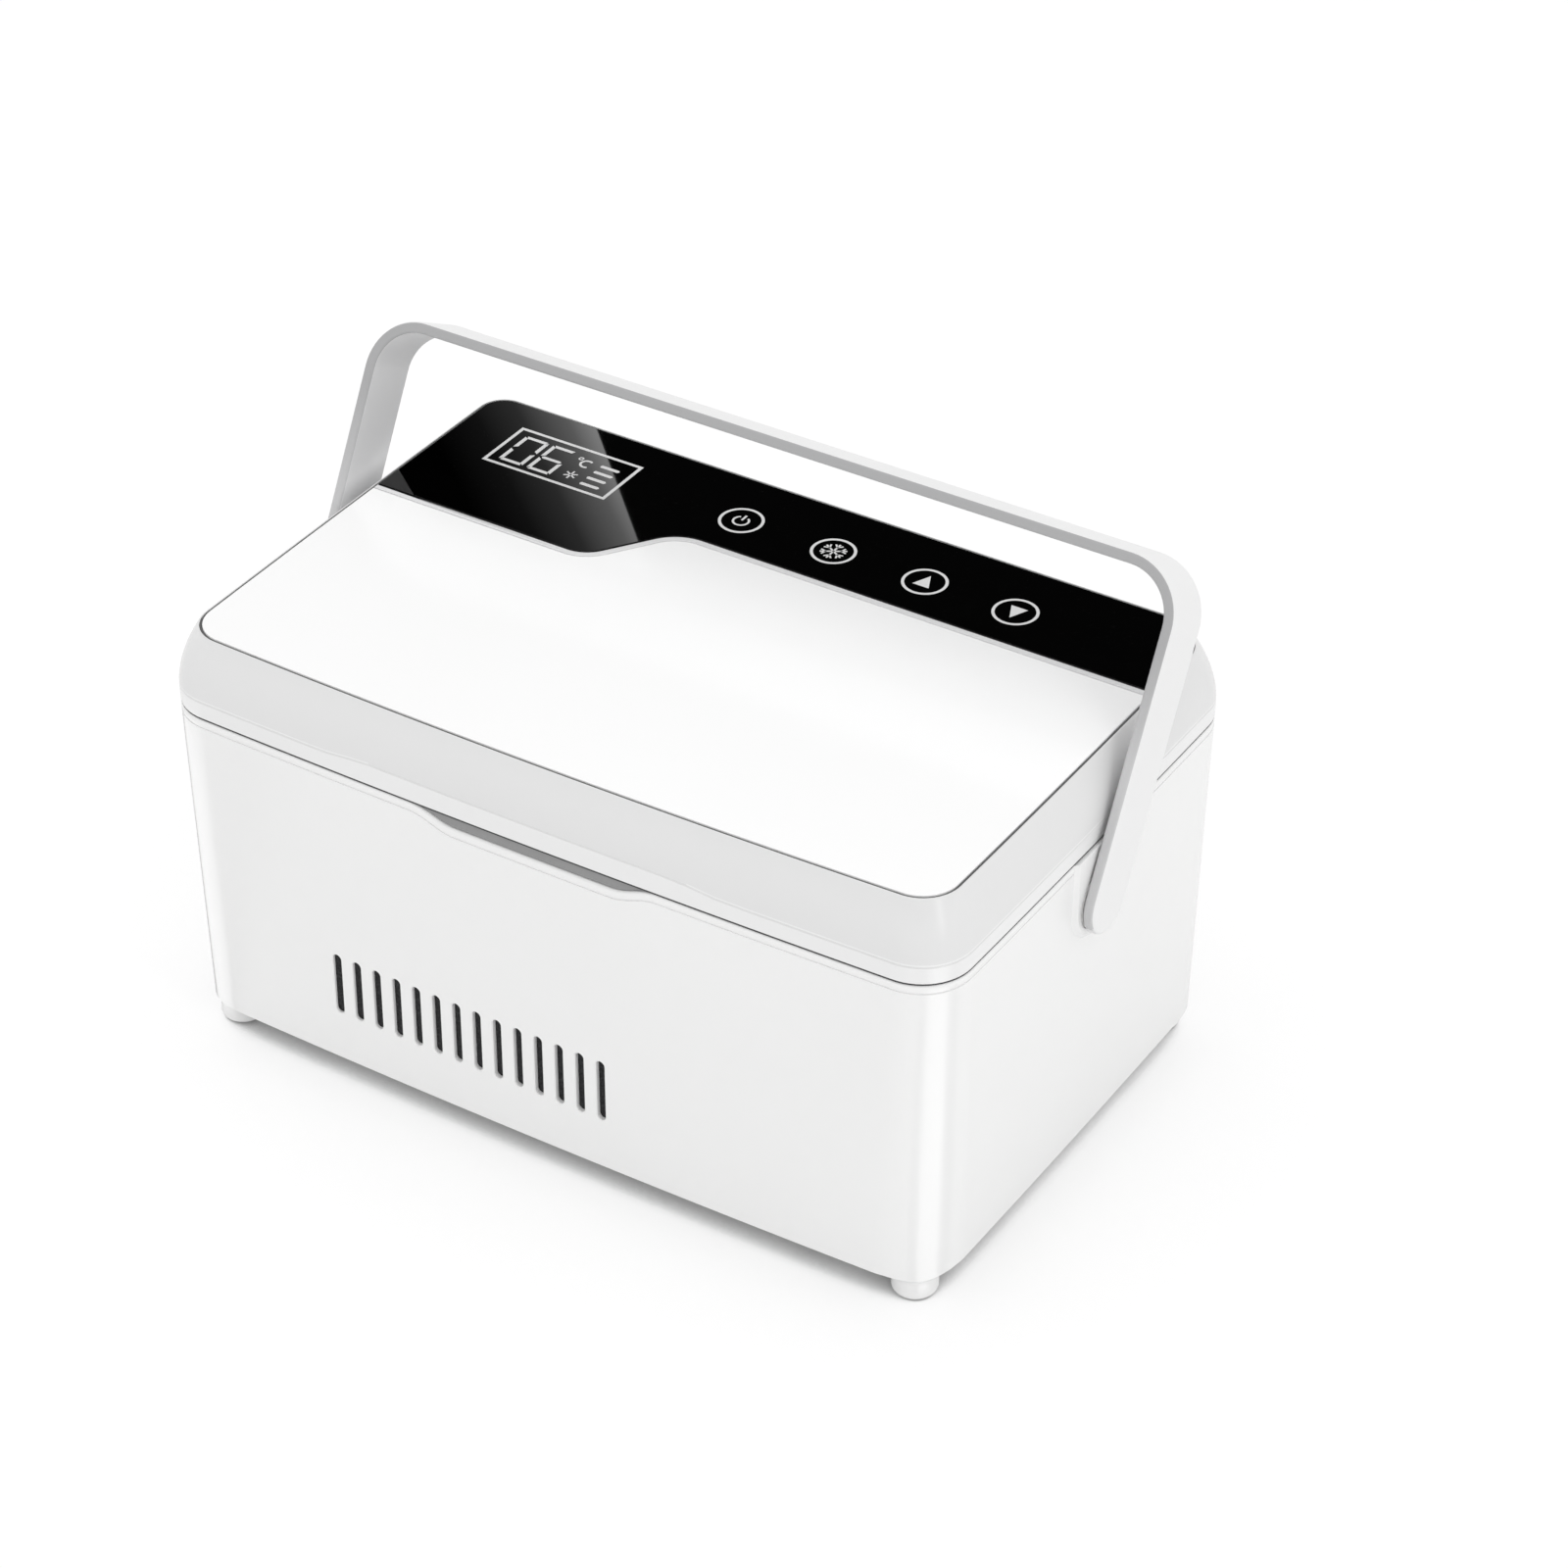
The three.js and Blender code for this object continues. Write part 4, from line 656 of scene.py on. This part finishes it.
lid_cuts += [turned("key_hole", [(key_hole_radius, cut_low), (key_hole_radius, cut_high)],
                    (x, key_y + case_y, 0), "Z", 32) for x in key_xs]
carve(lid_shell, lid_cuts)
carve(lid_shell, [knuckle("lid_knuckle", side * hinge_x, knuckle_middle, 1) for side in (-1, 1)], "UNION")
polish(lid_shell)
# Both lid finishes are a darker white than the case's, as painted shade: the darker one on the leaning faces, the
# lighter one on the upright band above the seam.
lid_shaded_white = moulding("white lid moulding", (0.745, 0.745, 0.745), (0.72, 0.72, 0.72), 0.26)
lid_band_shaded_white = moulding("white lid band, painted shade", (0.825, 0.825, 0.825), (0.80, 0.80, 0.80), 0.26)
for lid_finish in (lid_shaded_white, lid_band_shaded_white):
    lid_shell.data.materials.append(lid_finish)
# The upright band above the seam takes the lighter painted shade, the leaning faces the darker one.
for face in lid_shell.data.polygons:
    face.material_index = int(face.center.z < 112 * mm and abs(face.normal.z) < 0.08)
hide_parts("lid_shell")
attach(lid_shell, "lid")

# Lid liner: the white sheet that closes the lid from below, moulded in the case's plastic and held
# on the pegs inside the lid.
dress(case_white, "lid_liner")

# Painted shade at the seam and the notch: a thin black lip let into the lid's lower edge, which paints
# the fine dark line of the seam, and a grey tongue behind the case's front face, which paints the shade in the
# finger notch.
lip_levels = [(104.9, 0.3), (105.0, 0.14), (105.39, 0.14), (105.39, 2.1), (104.9, 2.1)]
edge_seal = stack("edge_seal", [lid_ring(*level) for level in lip_levels], closed=True)
tongue_xs = [line for line in front_lines if abs(line) < notch_half - 1.5]
tongue_top, tongue_gap, tongue_back, tongue_thick = 104.88, 0.12, 0.75, 1.2
tongue_rings = []
for x in tongue_xs:
    y = -case_depth / 2 - front_swell(x) + tongue_back + case_y
    low = seam - notch_fall(x) + tongue_gap
    tongue_rings.append([(x, y, low), (x, y + tongue_thick, low), (x, y + tongue_thick, tongue_top),
                         (x, y, tongue_top)])
notch_shade_tongue = stack("notch_shade_tongue", tongue_rings)
# The tongue's grey is painted shade inside the finger notch.
notch_shade_grey = clouded("grey rubber, painted notch shade", 1.48, (5, 3), (0.30, 0.30, 0.30), (0.27, 0.27, 0.272), 0.6, (0.01, 0.4),
                      (0.3, 2))
for shade_piece, shade_finish in ((edge_seal, rubber), (notch_shade_tongue, notch_shade_grey)):
    shade_piece.data.materials.append(shade_finish)
    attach(shade_piece, "lid")

# Top sheets: a glossy white plate in front and a glossy black panel behind, let into the lid's
# recess with a fine groove all round, and a narrow silver strip along the S-shaped line between.
sheet_bottom, groove, sheet_ease = 125.0, 0.75, 0.3
split_left, split_right, split_x = 16.2, 38.9, -51.5
low_radius, high_radius, split_angle = 10.0, 14.0, 0.96
both_radii = low_radius + high_radius
slope = (split_right - split_left - both_radii * (1 - math.cos(split_angle))) / math.sin(split_angle)
split_run = both_radii * math.sin(split_angle) + slope * math.cos(split_angle)


def split_line(forward):
    """The S-shaped line between the sheets, moved towards the front, from left to right."""
    low, high, arc_steps = low_radius + forward, high_radius - forward, 14
    points = [(-case_width, split_left - forward)]
    for step in range(arc_steps + 1):
        angle = split_angle * step / arc_steps
        points.append((split_x + low * math.sin(angle), split_left + low_radius - low * math.cos(angle)))
    for step in range(arc_steps, -1, -1):
        angle = split_angle * step / arc_steps
        points.append((split_x + split_run - high * math.sin(angle),
                       split_right - high_radius + high * math.cos(angle)))
    return points + [(case_width, split_right - forward)]


def height_on(line, x):
    """Where a line from left to right is at this x."""
    for (x0, y0), (x1, y1) in zip(line, line[1:]):
        if x0 <= x <= x1:
            return y0 + (y1 - y0) * (x - x0) / (x1 - x0)


def part_of(shape, line, behind):
    """The part of a closed outline that lies behind an S-shaped line, or in front of it."""
    keep = [(y > height_on(line, x)) == behind for x, y in shape]
    start = next(index for index in range(len(shape)) if keep[index] and not keep[index - 1])
    kept, count = [], len(shape)

    def crossing(index):
        (x0, y0), (x1, y1) = shape[index - 1], shape[index]
        g0, g1 = y0 - height_on(line, x0), y1 - height_on(line, x1)
        share = g0 / (g0 - g1)
        return x0 + (x1 - x0) * share, y0 + (y1 - y0) * share

    kept.append(crossing(start))
    index = start
    while keep[index % count]:
        kept.append(shape[index % count])
        index += 1
    kept.append(crossing(index % count))
    first, last = kept[0], kept[-1]
    left, right = sorted((first[0], last[0]))
    between = [point for point in line if left + 0.2 < point[0] < right - 0.2]
    return kept + (between if last[0] < first[0] else between[::-1])


def drawn_in(shape, inset):
    """A closed outline moved inwards, its corners kept."""
    moved, count = [], len(shape)
    turn = sum(shape[n - 1][0] * shape[n][1] - shape[n][0] * shape[n - 1][1] for n in range(count))
    for n in range(count):
        before, here, after = Vector(shape[n - 1]), Vector(shape[n]), Vector(shape[(n + 1) % count])
        first, second = (here - before).normalized(), (after - here).normalized()
        normal = (Vector((-first.y, first.x)) + Vector((-second.y, second.x))) * (1 if turn > 0 else -1)
        normal.normalize()
        reach = inset / max(0.3, abs(normal.dot(Vector((-first.y, first.x)))))
        moved.append(tuple(here + normal * reach))
    return moved


def sheet(name, shape, top):
    """A thin flat piece with an eased top edge."""
    bend = ((1, 0), (0.62, 0.08), (0.29, 0.29), (0.08, 0.62), (0, 1))
    levels = [(sheet_bottom, 0)] + [(top - sheet_ease * down, sheet_ease * inset) for down, inset in bend]
    made = stack(name, [[(x, y + case_y, z) for x, y in drawn_in(shape, inset)] for z, inset in levels])
    polish(made, 40)
    return made


sheet_form = lid_outline(full_lean, rim_width + groove)
top_plate = sheet("white_top_plate", part_of(sheet_form, split_line(2.4), False), lid_top)
gloss_white, gloss_shader, gloss_place = new_finish("glossy white sheet", {"IOR": 1.49, "Coat Weight": 0.25})
gloss_cloud = spots(gloss_place, 70, 2)
feed(gloss_shader.inputs["Base Color"], mixed(gloss_cloud, (0.97, 0.97, 0.97), (0.955, 0.955, 0.953)))
feed(gloss_shader.inputs["Roughness"], 0.16 + spots(gloss_place, 9, 4) * 0.05)
feed(gloss_shader.inputs["Normal"], relief(gloss_place, spots(gloss_place, 12, 1), 0.01, 0.15))
top_plate.data.materials.append(gloss_white)
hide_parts("top_plate")
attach(top_plate, "lid")

# Control panel: the black acrylic sheet over the display and the keys, laid in the lid's recess. It
# is mirror-bright, with a trace of smears.
control_panel = sheet("black_control_panel", part_of(sheet_form, split_line(0), True), lid_top)
gloss_black, black_shader, black_place = new_finish("glossy black sheet", {"IOR": 1.49})
black_smear = spots(black_place, 14, 4)
feed(black_shader.inputs["Base Color"], mixed(black_smear, (0.0003, 0.0003, 0.0003), (0.0006, 0.0006, 0.0006)))
feed(black_shader.inputs["Roughness"], 0.01 + black_smear * 0.012)
feed(black_shader.inputs["Normal"], relief(black_place, spots(black_place, 20, 1), 0.004, 0.1))
control_panel.data.materials.append(gloss_black)
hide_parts("control_panel")
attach(control_panel, "lid")

# Gasket: a dark rubber cord pressed into the groove round the two sheets, where it lies a little
# lower than they do. Its dark colour is painted shade in the groove.
cord_levels = [(125.0, 0.4), (126.35, 0.4), (126.5, 0.55), (126.5, 0.9), (126.35, 1.05), (125.0, 1.05)]
groove_shade_cord = stack("groove_shade_cord", [lid_ring(*level, full_lean) for level in cord_levels], closed=True)
groove_shade_rubber = clouded("dark groove cord, painted groove shade", 1.48, (3, 3), (0.10, 0.10, 0.10), (0.13, 0.13, 0.13), 0.6,
                      (0.01, 0.4))
groove_shade_cord.data.materials.append(groove_shade_rubber)
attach(groove_shade_cord, "lid")

# Silver strip: satin metal foil bonded along the S-shaped front edge of the black panel, drawn
# lengthwise. Its finish is a light grey with little metal in it: the foil's sheen is painted in its colour.
def brushed(place, stretch, size, detail):
    """Fine drawn lines: noise that is squeezed across them."""
    squeezed = place.node("Mapping", {}, {"Vector": place, "Scale": stretch})
    return place.node("TexNoise", {}, {"Vector": squeezed, "Scale": size, "Detail": detail})


strip_form = part_of(part_of(sheet_form, split_line(2.1), True), split_line(0.3), False)
panel_trim = sheet("silver_strip", strip_form, lid_top)
strip_painted_sheen, silver_shader, silver_place = new_finish("satin silver strip", {"IOR": 1.6})
drawing = brushed(silver_place, (40, 900, 900), 3, 4)
# Light grey base colour with low metal: a painted sheen for the foil.
feed(silver_shader.inputs["Base Color"], mixed(drawing, (0.78, 0.78, 0.785), (0.84, 0.84, 0.845)))
feed(silver_shader.inputs["Metallic"], 0.08 + drawing * 0.08)
feed(silver_shader.inputs["Roughness"], 0.3 + drawing * 0.15)
feed(silver_shader.inputs["Normal"], relief(silver_place, drawing, 0.01, 0.3))
panel_trim.data.materials.append(strip_painted_sheen)
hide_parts("panel_trim")
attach(panel_trim, "lid")

# Printed marks on the black sheet: a display frame with two digits, two small marks and four level
# bars, and four ringed key symbols, all in white ink a few hundredths of a millimetre thick.
ink_level, ink_thick = 127.04, 0.04
ink_points, ink_faces = [], []


def fill(points):
    """A filled printed shape."""
    start = len(ink_points)
    ink_points.extend((x, y + case_y, ink_level) for x, y in points)
    ink_faces.append(tuple(range(start, start + len(points))))


def stroke(points, width, closed=False):
    """A printed line of even width through these points."""
    count, start = len(points), len(ink_points)
    for n in range(count):
        here = Vector(points[n])
        before = Vector(points[n - 1]) if n or closed else here
        after = Vector(points[(n + 1) % count]) if n < count - 1 or closed else here
        first = (here - before).normalized() if before != here else (after - here).normalized()
        second = (after - here).normalized() if after != here else first
        normal = (Vector((-first.y, first.x)) + Vector((-second.y, second.x))).normalized()
        reach = width / 2 / max(0.4, normal.dot(Vector((-first.y, first.x))))
        for side in (1, -1):
            point = here + normal * reach * side
            ink_points.append((point.x, point.y + case_y, ink_level))
    for n in range(count if closed else count - 1):
        a, b = start + 2 * n, start + 2 * ((n + 1) % count)
        ink_faces.append((a, a + 1, b + 1, b))


def digit(x0, x1, y0, y1, lit):
    """A seven-bar digit, its lit bars named a to g from the top round to the middle."""
    thick, gap, corner, mitre, tip, thin, half = 1.15, 0.4, 0.5725, 1.05, 0.6, 0.55, (y0 + y1) / 2
    for name, y, up in (("a", y1, 1), ("d", y0, -1)):
        if name in lit:
            inner = y - thick * up
            fill([(x0 + corner, y), (x1 - corner, y), (x1 - mitre, inner), (x0 + mitre, inner)])
    if "g" in lit:
        fill([(x0 + tip, half), (x0 + thick, half + thin), (x1 - thick, half + thin), (x1 - tip, half),
              (x1 - thick, half - thin), (x0 + thick, half - thin)])
    for name, x, into, low, high in (("f", x0, 1, half, y1), ("b", x1, -1, half, y1), ("e", x0, 1, y0, half),
                                     ("c", x1, -1, y0, half)):
        if name in lit:
            fill([(x, low + gap), (x + into * thick, low + thick), (x + into * thick, high - thick),
                  (x, high - gap)])


def heading(turn):
    """The way that a turn in degrees points, as a pair."""
    return math.cos(math.radians(turn)), math.sin(math.radians(turn))


frame_left, frame_right, frame_low, frame_high, frame_line = -97.3, -57.7, 42.45, 61.35, 1.0
stroke([(frame_left, frame_low), (frame_right, frame_low), (frame_right, frame_high), (frame_left, frame_high)],
       frame_line, closed=True)
digit_low, digit_high = 44.6, 58.6
digit(-94.2, -86.3, digit_low, digit_high, "abcdef")
digit(-84.9, -77.2, digit_low, digit_high, "acdefg")
stroke(arc(-74.4, 56.6, 0.6, 0, 345, 20), 0.4)
stroke(arc(-71.6, 54.9, 1.7, 55, 305, 20), 0.7)
star_x, star_y, star_reach = -72.2, 48.0, 2.0
for turn in (90, 150, 210):
    dx, dy = [star_reach * part for part in heading(turn)]
    stroke([(star_x - dx, star_y - dy), (star_x + dx, star_y + dy)], 0.5)
bar_left, bar_right, bar_half, bar_nose, bar_tail = -67.4, -61.9, 0.6, 0.5, 0.3
for y in (56.1, 52.7, 49.3, 45.9):
    fill([(bar_left, y - bar_half), (bar_right, y - bar_half), (bar_right + bar_nose, y),
          (bar_right, y + bar_half), (bar_left, y + bar_half), (bar_left - bar_tail, y)])
ring_radius, ring_line = 5.95, 0.85
for x in key_xs:
    stroke(arc(x, key_y, ring_radius, 0, 352.5, 47), ring_line, closed=True)
power_x, mode_x, up_x, down_x = key_xs
power_line = 0.6
stroke(arc(power_x, key_y - 0.2, 2.2, 122, 418, 26), power_line)
stroke([(power_x, key_y + 0.2), (power_x, key_y + 2.8)], power_line)
flake_middle, flake_reach, twig_root, twig_tip, twig_spread = Vector((mode_x, key_y)), 3.7, 2.1, 3.3, 1.15
for turn in (90, 150, 210):
    way = Vector(heading(turn))
    across_way = Vector((-way.y, way.x))
    stroke([flake_middle - way * flake_reach, flake_middle + way * flake_reach], 0.55)
    for end in (-1, 1):
        root, tip = flake_middle + way * twig_root * end, flake_middle + way * twig_tip * end
        stroke([tip + across_way * twig_spread, root, tip - across_way * twig_spread], 0.5)
arrow_half, arrow_foot, arrow_tip = 2.5, 2.3, 3.2
for x, up in ((up_x, 1), (down_x, -1)):
    fill([(x - arrow_half, key_y - up * arrow_foot), (x + arrow_half, key_y - up * arrow_foot),
          (x, key_y + up * arrow_tip)])
panel_print = add_object("panel_print", ink_points, ink_faces)
thicken = panel_print.modifiers.new("ink", "SOLIDIFY")
thicken.thickness, thicken.offset = ink_thick * mm, -1.0
settle(panel_print)
ink = clouded("white printing ink", 1.45, (0.4, 3), (0.78, 0.78, 0.78), (0.66, 0.66, 0.66), 0.45, (0.01, 0.3),
              gain=0.15)
panel_print.data.materials.append(ink)
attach(panel_print, "lid")

# Handle: one strap of white plastic bent to a U, rounded at its ends where a headed pin carries it in
# the case's pockets. Its outer faces are white; its inner face and its edges carry painted shade.
handle_inner, strap, strap_width, reach, bow, lean_back = 121.8, 3.1, 18.2, 87.87, 16.0, 28.4
strap_ease, strap_skin, thick_half = 0.85, 0.35, strap / 2
strap_middle = handle_inner + thick_half


def strap_section(below):
    """Pairs of place across the strap and through it, at this distance below the pivot."""
    end_radius = strap_width / 2
    full = end_radius - strap_ease
    half = thick_half if below <= full else thick_half - strap_ease + math.sqrt(
        max(0.0, strap_ease ** 2 - (below - full) ** 2))
    turns = [heading(turn) for turn in (90, 67.5, 45, 22.5, 0)]
    levels = [-(thick_half - strap_ease + strap_ease * sine) for cosine, sine in turns]
    levels += [-level for level in reversed(levels)]
    widths = [full + strap_ease * cosine for cosine, sine in turns]
    widths += widths[::-1]
    right = []
    for level, width in zip(levels, widths):
        thin = level * half / thick_half
        over = max(0.0, abs(thin) - (thick_half - strap_ease))
        allowed = full + math.sqrt(max(0.0, strap_ease ** 2 - over ** 2)) if half < thick_half else width
        right.append((math.sqrt(max(0.0004, allowed ** 2 - below ** 2)), thin))
    return right + [(-across, thin) for across, thin in reversed(right)]


def strap_ring(x, z, out_x, out_z, below):
    """A section of the strap round a point of its middle line, leaned back about the pivot."""
    lean = math.radians(-lean_back)
    ring = []
    for across, thin in strap_section(below):
        px, pz = x + out_x * thin, z + out_z * thin
        ring.append((px, pivot_y + case_y + across * math.cos(lean) - pz * math.sin(lean),
                     pivot_z + across * math.sin(lean) + pz * math.cos(lean)))
    return ring


end_levels = [strap_width / 2 * heading(turn)[1] for turn in (86, 80, 73, 66, 59, 52, 45, 36, 27, 18, 9, 0)]
right_leg = [(strap_middle, -below, 1, 0, below) for below in end_levels]
right_leg += [(strap_middle, z, 1, 0, 0) for z in (12, 30, 50, 66)]
bow_x, bow_z, bow_middle = handle_inner + strap - bow, reach - bow, bow - thick_half
right_leg += [(bow_x + bow_middle * out_x, bow_z + bow_middle * out_z, out_x, out_z, 0)
              for out_x, out_z in map(heading, range(0, 91, 6))]
bar = [(x, reach - thick_half, 0, 1, 0) for x in (90, 60, 30, 0)]
left_leg = [(-x, z, -out_x, out_z, below) for x, z, out_x, out_z, below in reversed(right_leg + bar[:-1])]
handle_strap = stack("handle_band", [strap_ring(*place) for place in right_leg + bar + left_leg])
polish(handle_strap, 50)
handle_white = moulding("white handle skin", (0.82, 0.82, 0.82), (0.80, 0.80, 0.80), 0.34)
# The inner face's slightly darker white is painted shade.
handle_inner_shade = moulding("pale handle lining", (0.77, 0.77, 0.775), (0.74, 0.74, 0.745), 0.4)
# The edges' grey is painted shade: lighter low on the arms, deepening upwards towards the bar.
handle_edge_shade, edge_shade_shader, edge_place = new_finish("handle edges, painted grey shade", {"Roughness": 0.42, "IOR": 1.46})
climb = edge_place.node("SeparateXYZ", {}, {"Vector": edge_place}, "Z")
shade_start, shade_rise = 0.122, 33
shade_deepening = edge_place.node("ValToRGB", {"stops": [(0.0, 0.0), (1.0, 1.0)]}, {
    "Fac": (climb - shade_start) * shade_rise})
feed(edge_shade_shader.inputs["Base Color"], mixed(
    shade_deepening + spots(edge_place, 30) * 0.06, (0.57, 0.57, 0.575), (0.40, 0.40, 0.405)))
feed(edge_shade_shader.inputs["Normal"], relief(edge_place, spots(edge_place, 0.5, 3), 0.004, 0.35))
for strap_finish in (handle_white, handle_inner_shade, handle_edge_shade):
    handle_strap.data.materials.append(strap_finish)
lean_turn = Matrix.Rotation(math.radians(lean_back), 3, "X")
pivot_at = Vector((0, pivot_y + case_y, pivot_z)) * mm
# Each face takes a finish by where it lies: the outer skin white, the edges the painted grey shade, the inner face
# the lighter painted shade.
for face in handle_strap.data.polygons:
    upright = lean_turn @ (Vector(face.center) - pivot_at) / mm
    facing = lean_turn @ Vector(face.normal)
    side_x = abs(upright.x)
    if upright.z > bow_z and side_x > bow_x:
        deep = bow - math.hypot(side_x - bow_x, upright.z - bow_z)
    elif upright.z > bow_z:
        deep = reach - upright.z
    else:
        deep = handle_inner + strap - side_x
    face.material_index = 0 if deep < strap_skin else 2 if abs(facing.y) > 0.5 else 1
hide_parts("handle_arm_left", "handle_arm_right", "handle_bar")
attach(handle_strap, "handle")

# Bushes at the handle's ends and the plug block on the power board: moulded in natural nylon,
# slightly waxy. The bushes are pressed in, and the block is soldered.
nylon = moulding("natural nylon", (0.85, 0.85, 0.84), (0.80, 0.80, 0.785), 0.45, 0.8)
dress(nylon, *family("handle_bush"), "lead_connector")

# Steel pieces: pins, screws, magnets, the fan's shaft and stator and the sensor's can, all turned
# or plated, with fine marks round them.
steel, steel_shader, steel_place = new_finish("bright steel", {"Metallic": 1.0, "IOR": 2.5})
turning = brushed(steel_place, (300, 300, 3000), 2, 3)
tarnish = spots(steel_place, 3, 4)
feed(steel_shader.inputs["Base Color"], mixed(tarnish, (0.62, 0.62, 0.63), (0.50, 0.50, 0.51)))
feed(steel_shader.inputs["Roughness"], 0.24 + turning * 0.14 + tarnish * 0.08)
feed(steel_shader.inputs["Normal"], relief(steel_place, turning, 0.006, 0.4))
dress(steel, "fan_shaft", "fan_stator", "temperature_sensor", *family("base_screw", *four_corners))
for steel_pair in ("handle_pin", "hinge_pin", "clamp_screw", "case_magnet", "lid_magnet"):
    dress(steel, *family(steel_pair))

# Aluminium pieces: the pressed chamber liner, the extruded heat sink and the cold block, with the
# fine drawn lines of rolled and sawn metal.
aluminium, aluminium_shader, aluminium_place = new_finish("plain aluminium", {"IOR": 1.8})
rolled = brushed(aluminium_place, (20, 900, 900), 2, 5)
breath = spots(aluminium_place, 18, 3)
feed(aluminium_shader.inputs["Base Color"], mixed(breath, (0.80, 0.80, 0.81), (0.70, 0.70, 0.715)))
feed(aluminium_shader.inputs["Metallic"], 0.92 + breath * 0.06)
feed(aluminium_shader.inputs["Roughness"], 0.30 + rolled * 0.16)
feed(aluminium_shader.inputs["Normal"], relief(aluminium_place, rolled, 0.01, 0.35))
dress(aluminium, "inner_liner", "heat_sink", "cold_block")

# Foam: cream insulation full of closed cells, foamed in place round the chamber, and a slab of the
# same in the lid.
foam, foam_shader, foam_place = new_finish("closed-cell foam", {"Roughness": 0.95, "IOR": 1.3})
cells = foam_place.node("TexVoronoi", {}, {"Vector": foam_place, "Scale": 900}, "Distance")
foam_tone = spots(foam_place, 15, 4)
feed(foam_shader.inputs["Base Color"], mixed(
    cells * 0.5 + foam_tone * 0.5, (0.84, 0.81, 0.73), (0.74, 0.70, 0.60)))
feed(foam_shader.inputs["Normal"], relief(foam_place, cells, 0.25, 0.6))
dress(foam, "insulation_foam", "lid_foam")

# Black mouldings: fan, cell holder, inlet, capacitor, chip and display housing, all hard black
# plastic, matt and faintly grained.
dark = moulding("matt black moulding", (0.016, 0.016, 0.017), (0.035, 0.035, 0.036), 0.5, 0.4, 0.01)
dress(dark, "fan_frame", "fan_rotor", "battery_holder", "inlet_jack", "capacitor", "control_chip",
      "display_module")

# Circuit boards: glass-fibre sheet under green lacquer, over copper tracks that run along and
# across it. Both boards sit on moulded pegs.
board, board_shader, board_place = new_finish("green circuit board", {"IOR": 1.5})
tracks = board_place.node("TexBrick", {"offset": 0.35}, {
    "Vector": board_place, "Scale": 180, "Mortar Size": 0.035, "Mortar Smooth": 0.1}, "Fac")
board_tone = spots(board_place, 5, 3)
track_share = board_place.maths("MAXIMUM", tracks, board_tone * 0.3)
feed(board_shader.inputs["Base Color"], mixed(track_share, (0.012, 0.11, 0.04), (0.06, 0.26, 0.10)))
feed(board_shader.inputs["Roughness"], 0.28 + board_tone * 0.15)
feed(board_shader.inputs["Normal"], relief(board_place, tracks, 0.05, 0.5))
dress(board, "power_board", "touch_board")

# Thermoelectric module: two white alumina plates, chalky and slightly mottled, clamped between the
# cold block and the heat sink.
ceramic = clouded("white ceramic", 1.7, (2, 4), (0.86, 0.85, 0.82), (0.76, 0.75, 0.72), 0.5, (0.02, 0.4))
dress(ceramic, "peltier_module")

# Battery cells: two steel cans, each in a shrunk blue sleeve that stops short of its bare end. They
# lie side by side in the holder.
sleeve_end = 0.0957
sleeve, sleeve_shader, sleeve_place = new_finish("blue cell sleeve", {"IOR": 1.5})
along_cell = sleeve_place.node("SeparateXYZ", {}, {"Vector": sleeve_place}, "X")
bare = along_cell.maths("GREATER_THAN", along_cell, sleeve_end)
ripple = brushed(sleeve_place, (60, 400, 400), 2, 2)
feed(sleeve_shader.inputs["Base Color"], bare.node("Mix", {"data_type": "RGBA"}, {
    0: bare, 6: mixed(ripple, (0.03, 0.14, 0.36), (0.05, 0.20, 0.46)), 7: (0.6, 0.6, 0.61, 1)}, 2))
feed(sleeve_shader.inputs["Metallic"], bare * 0.95)
feed(sleeve_shader.inputs["Roughness"], 0.25 + ripple * 0.2)
feed(sleeve_shader.inputs["Normal"], relief(sleeve_place, ripple, 0.03, 0.4))
dress(sleeve, "battery_cell_1", "battery_cell_2")

# Leads: soft insulated wire in black and red, a little waxy, with a slow drift in gloss. They run
# from the fan and the module to the plug block.
lead_black = clouded("black lead", 1.48, (2.5, 3), (0.015, 0.015, 0.016), (0.03, 0.03, 0.03), 0.38, (0.02, 0.3))
lead_red = clouded("red lead", 1.48, (2.5, 3), (0.42, 0.02, 0.015), (0.30, 0.015, 0.01), 0.38, (0.02, 0.3))
dress(lead_black, "fan_lead", "module_lead_black")
dress(lead_red, "module_lead_red")

# The sizes of the imported case and of the dressed one are given as plain lists of metres in the
# script's last value, so that the two can be compared.
visual_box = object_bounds()
{"cad": [list(corner) for corner in cad_box], "visual": [list(corner) for corner in visual_box]}
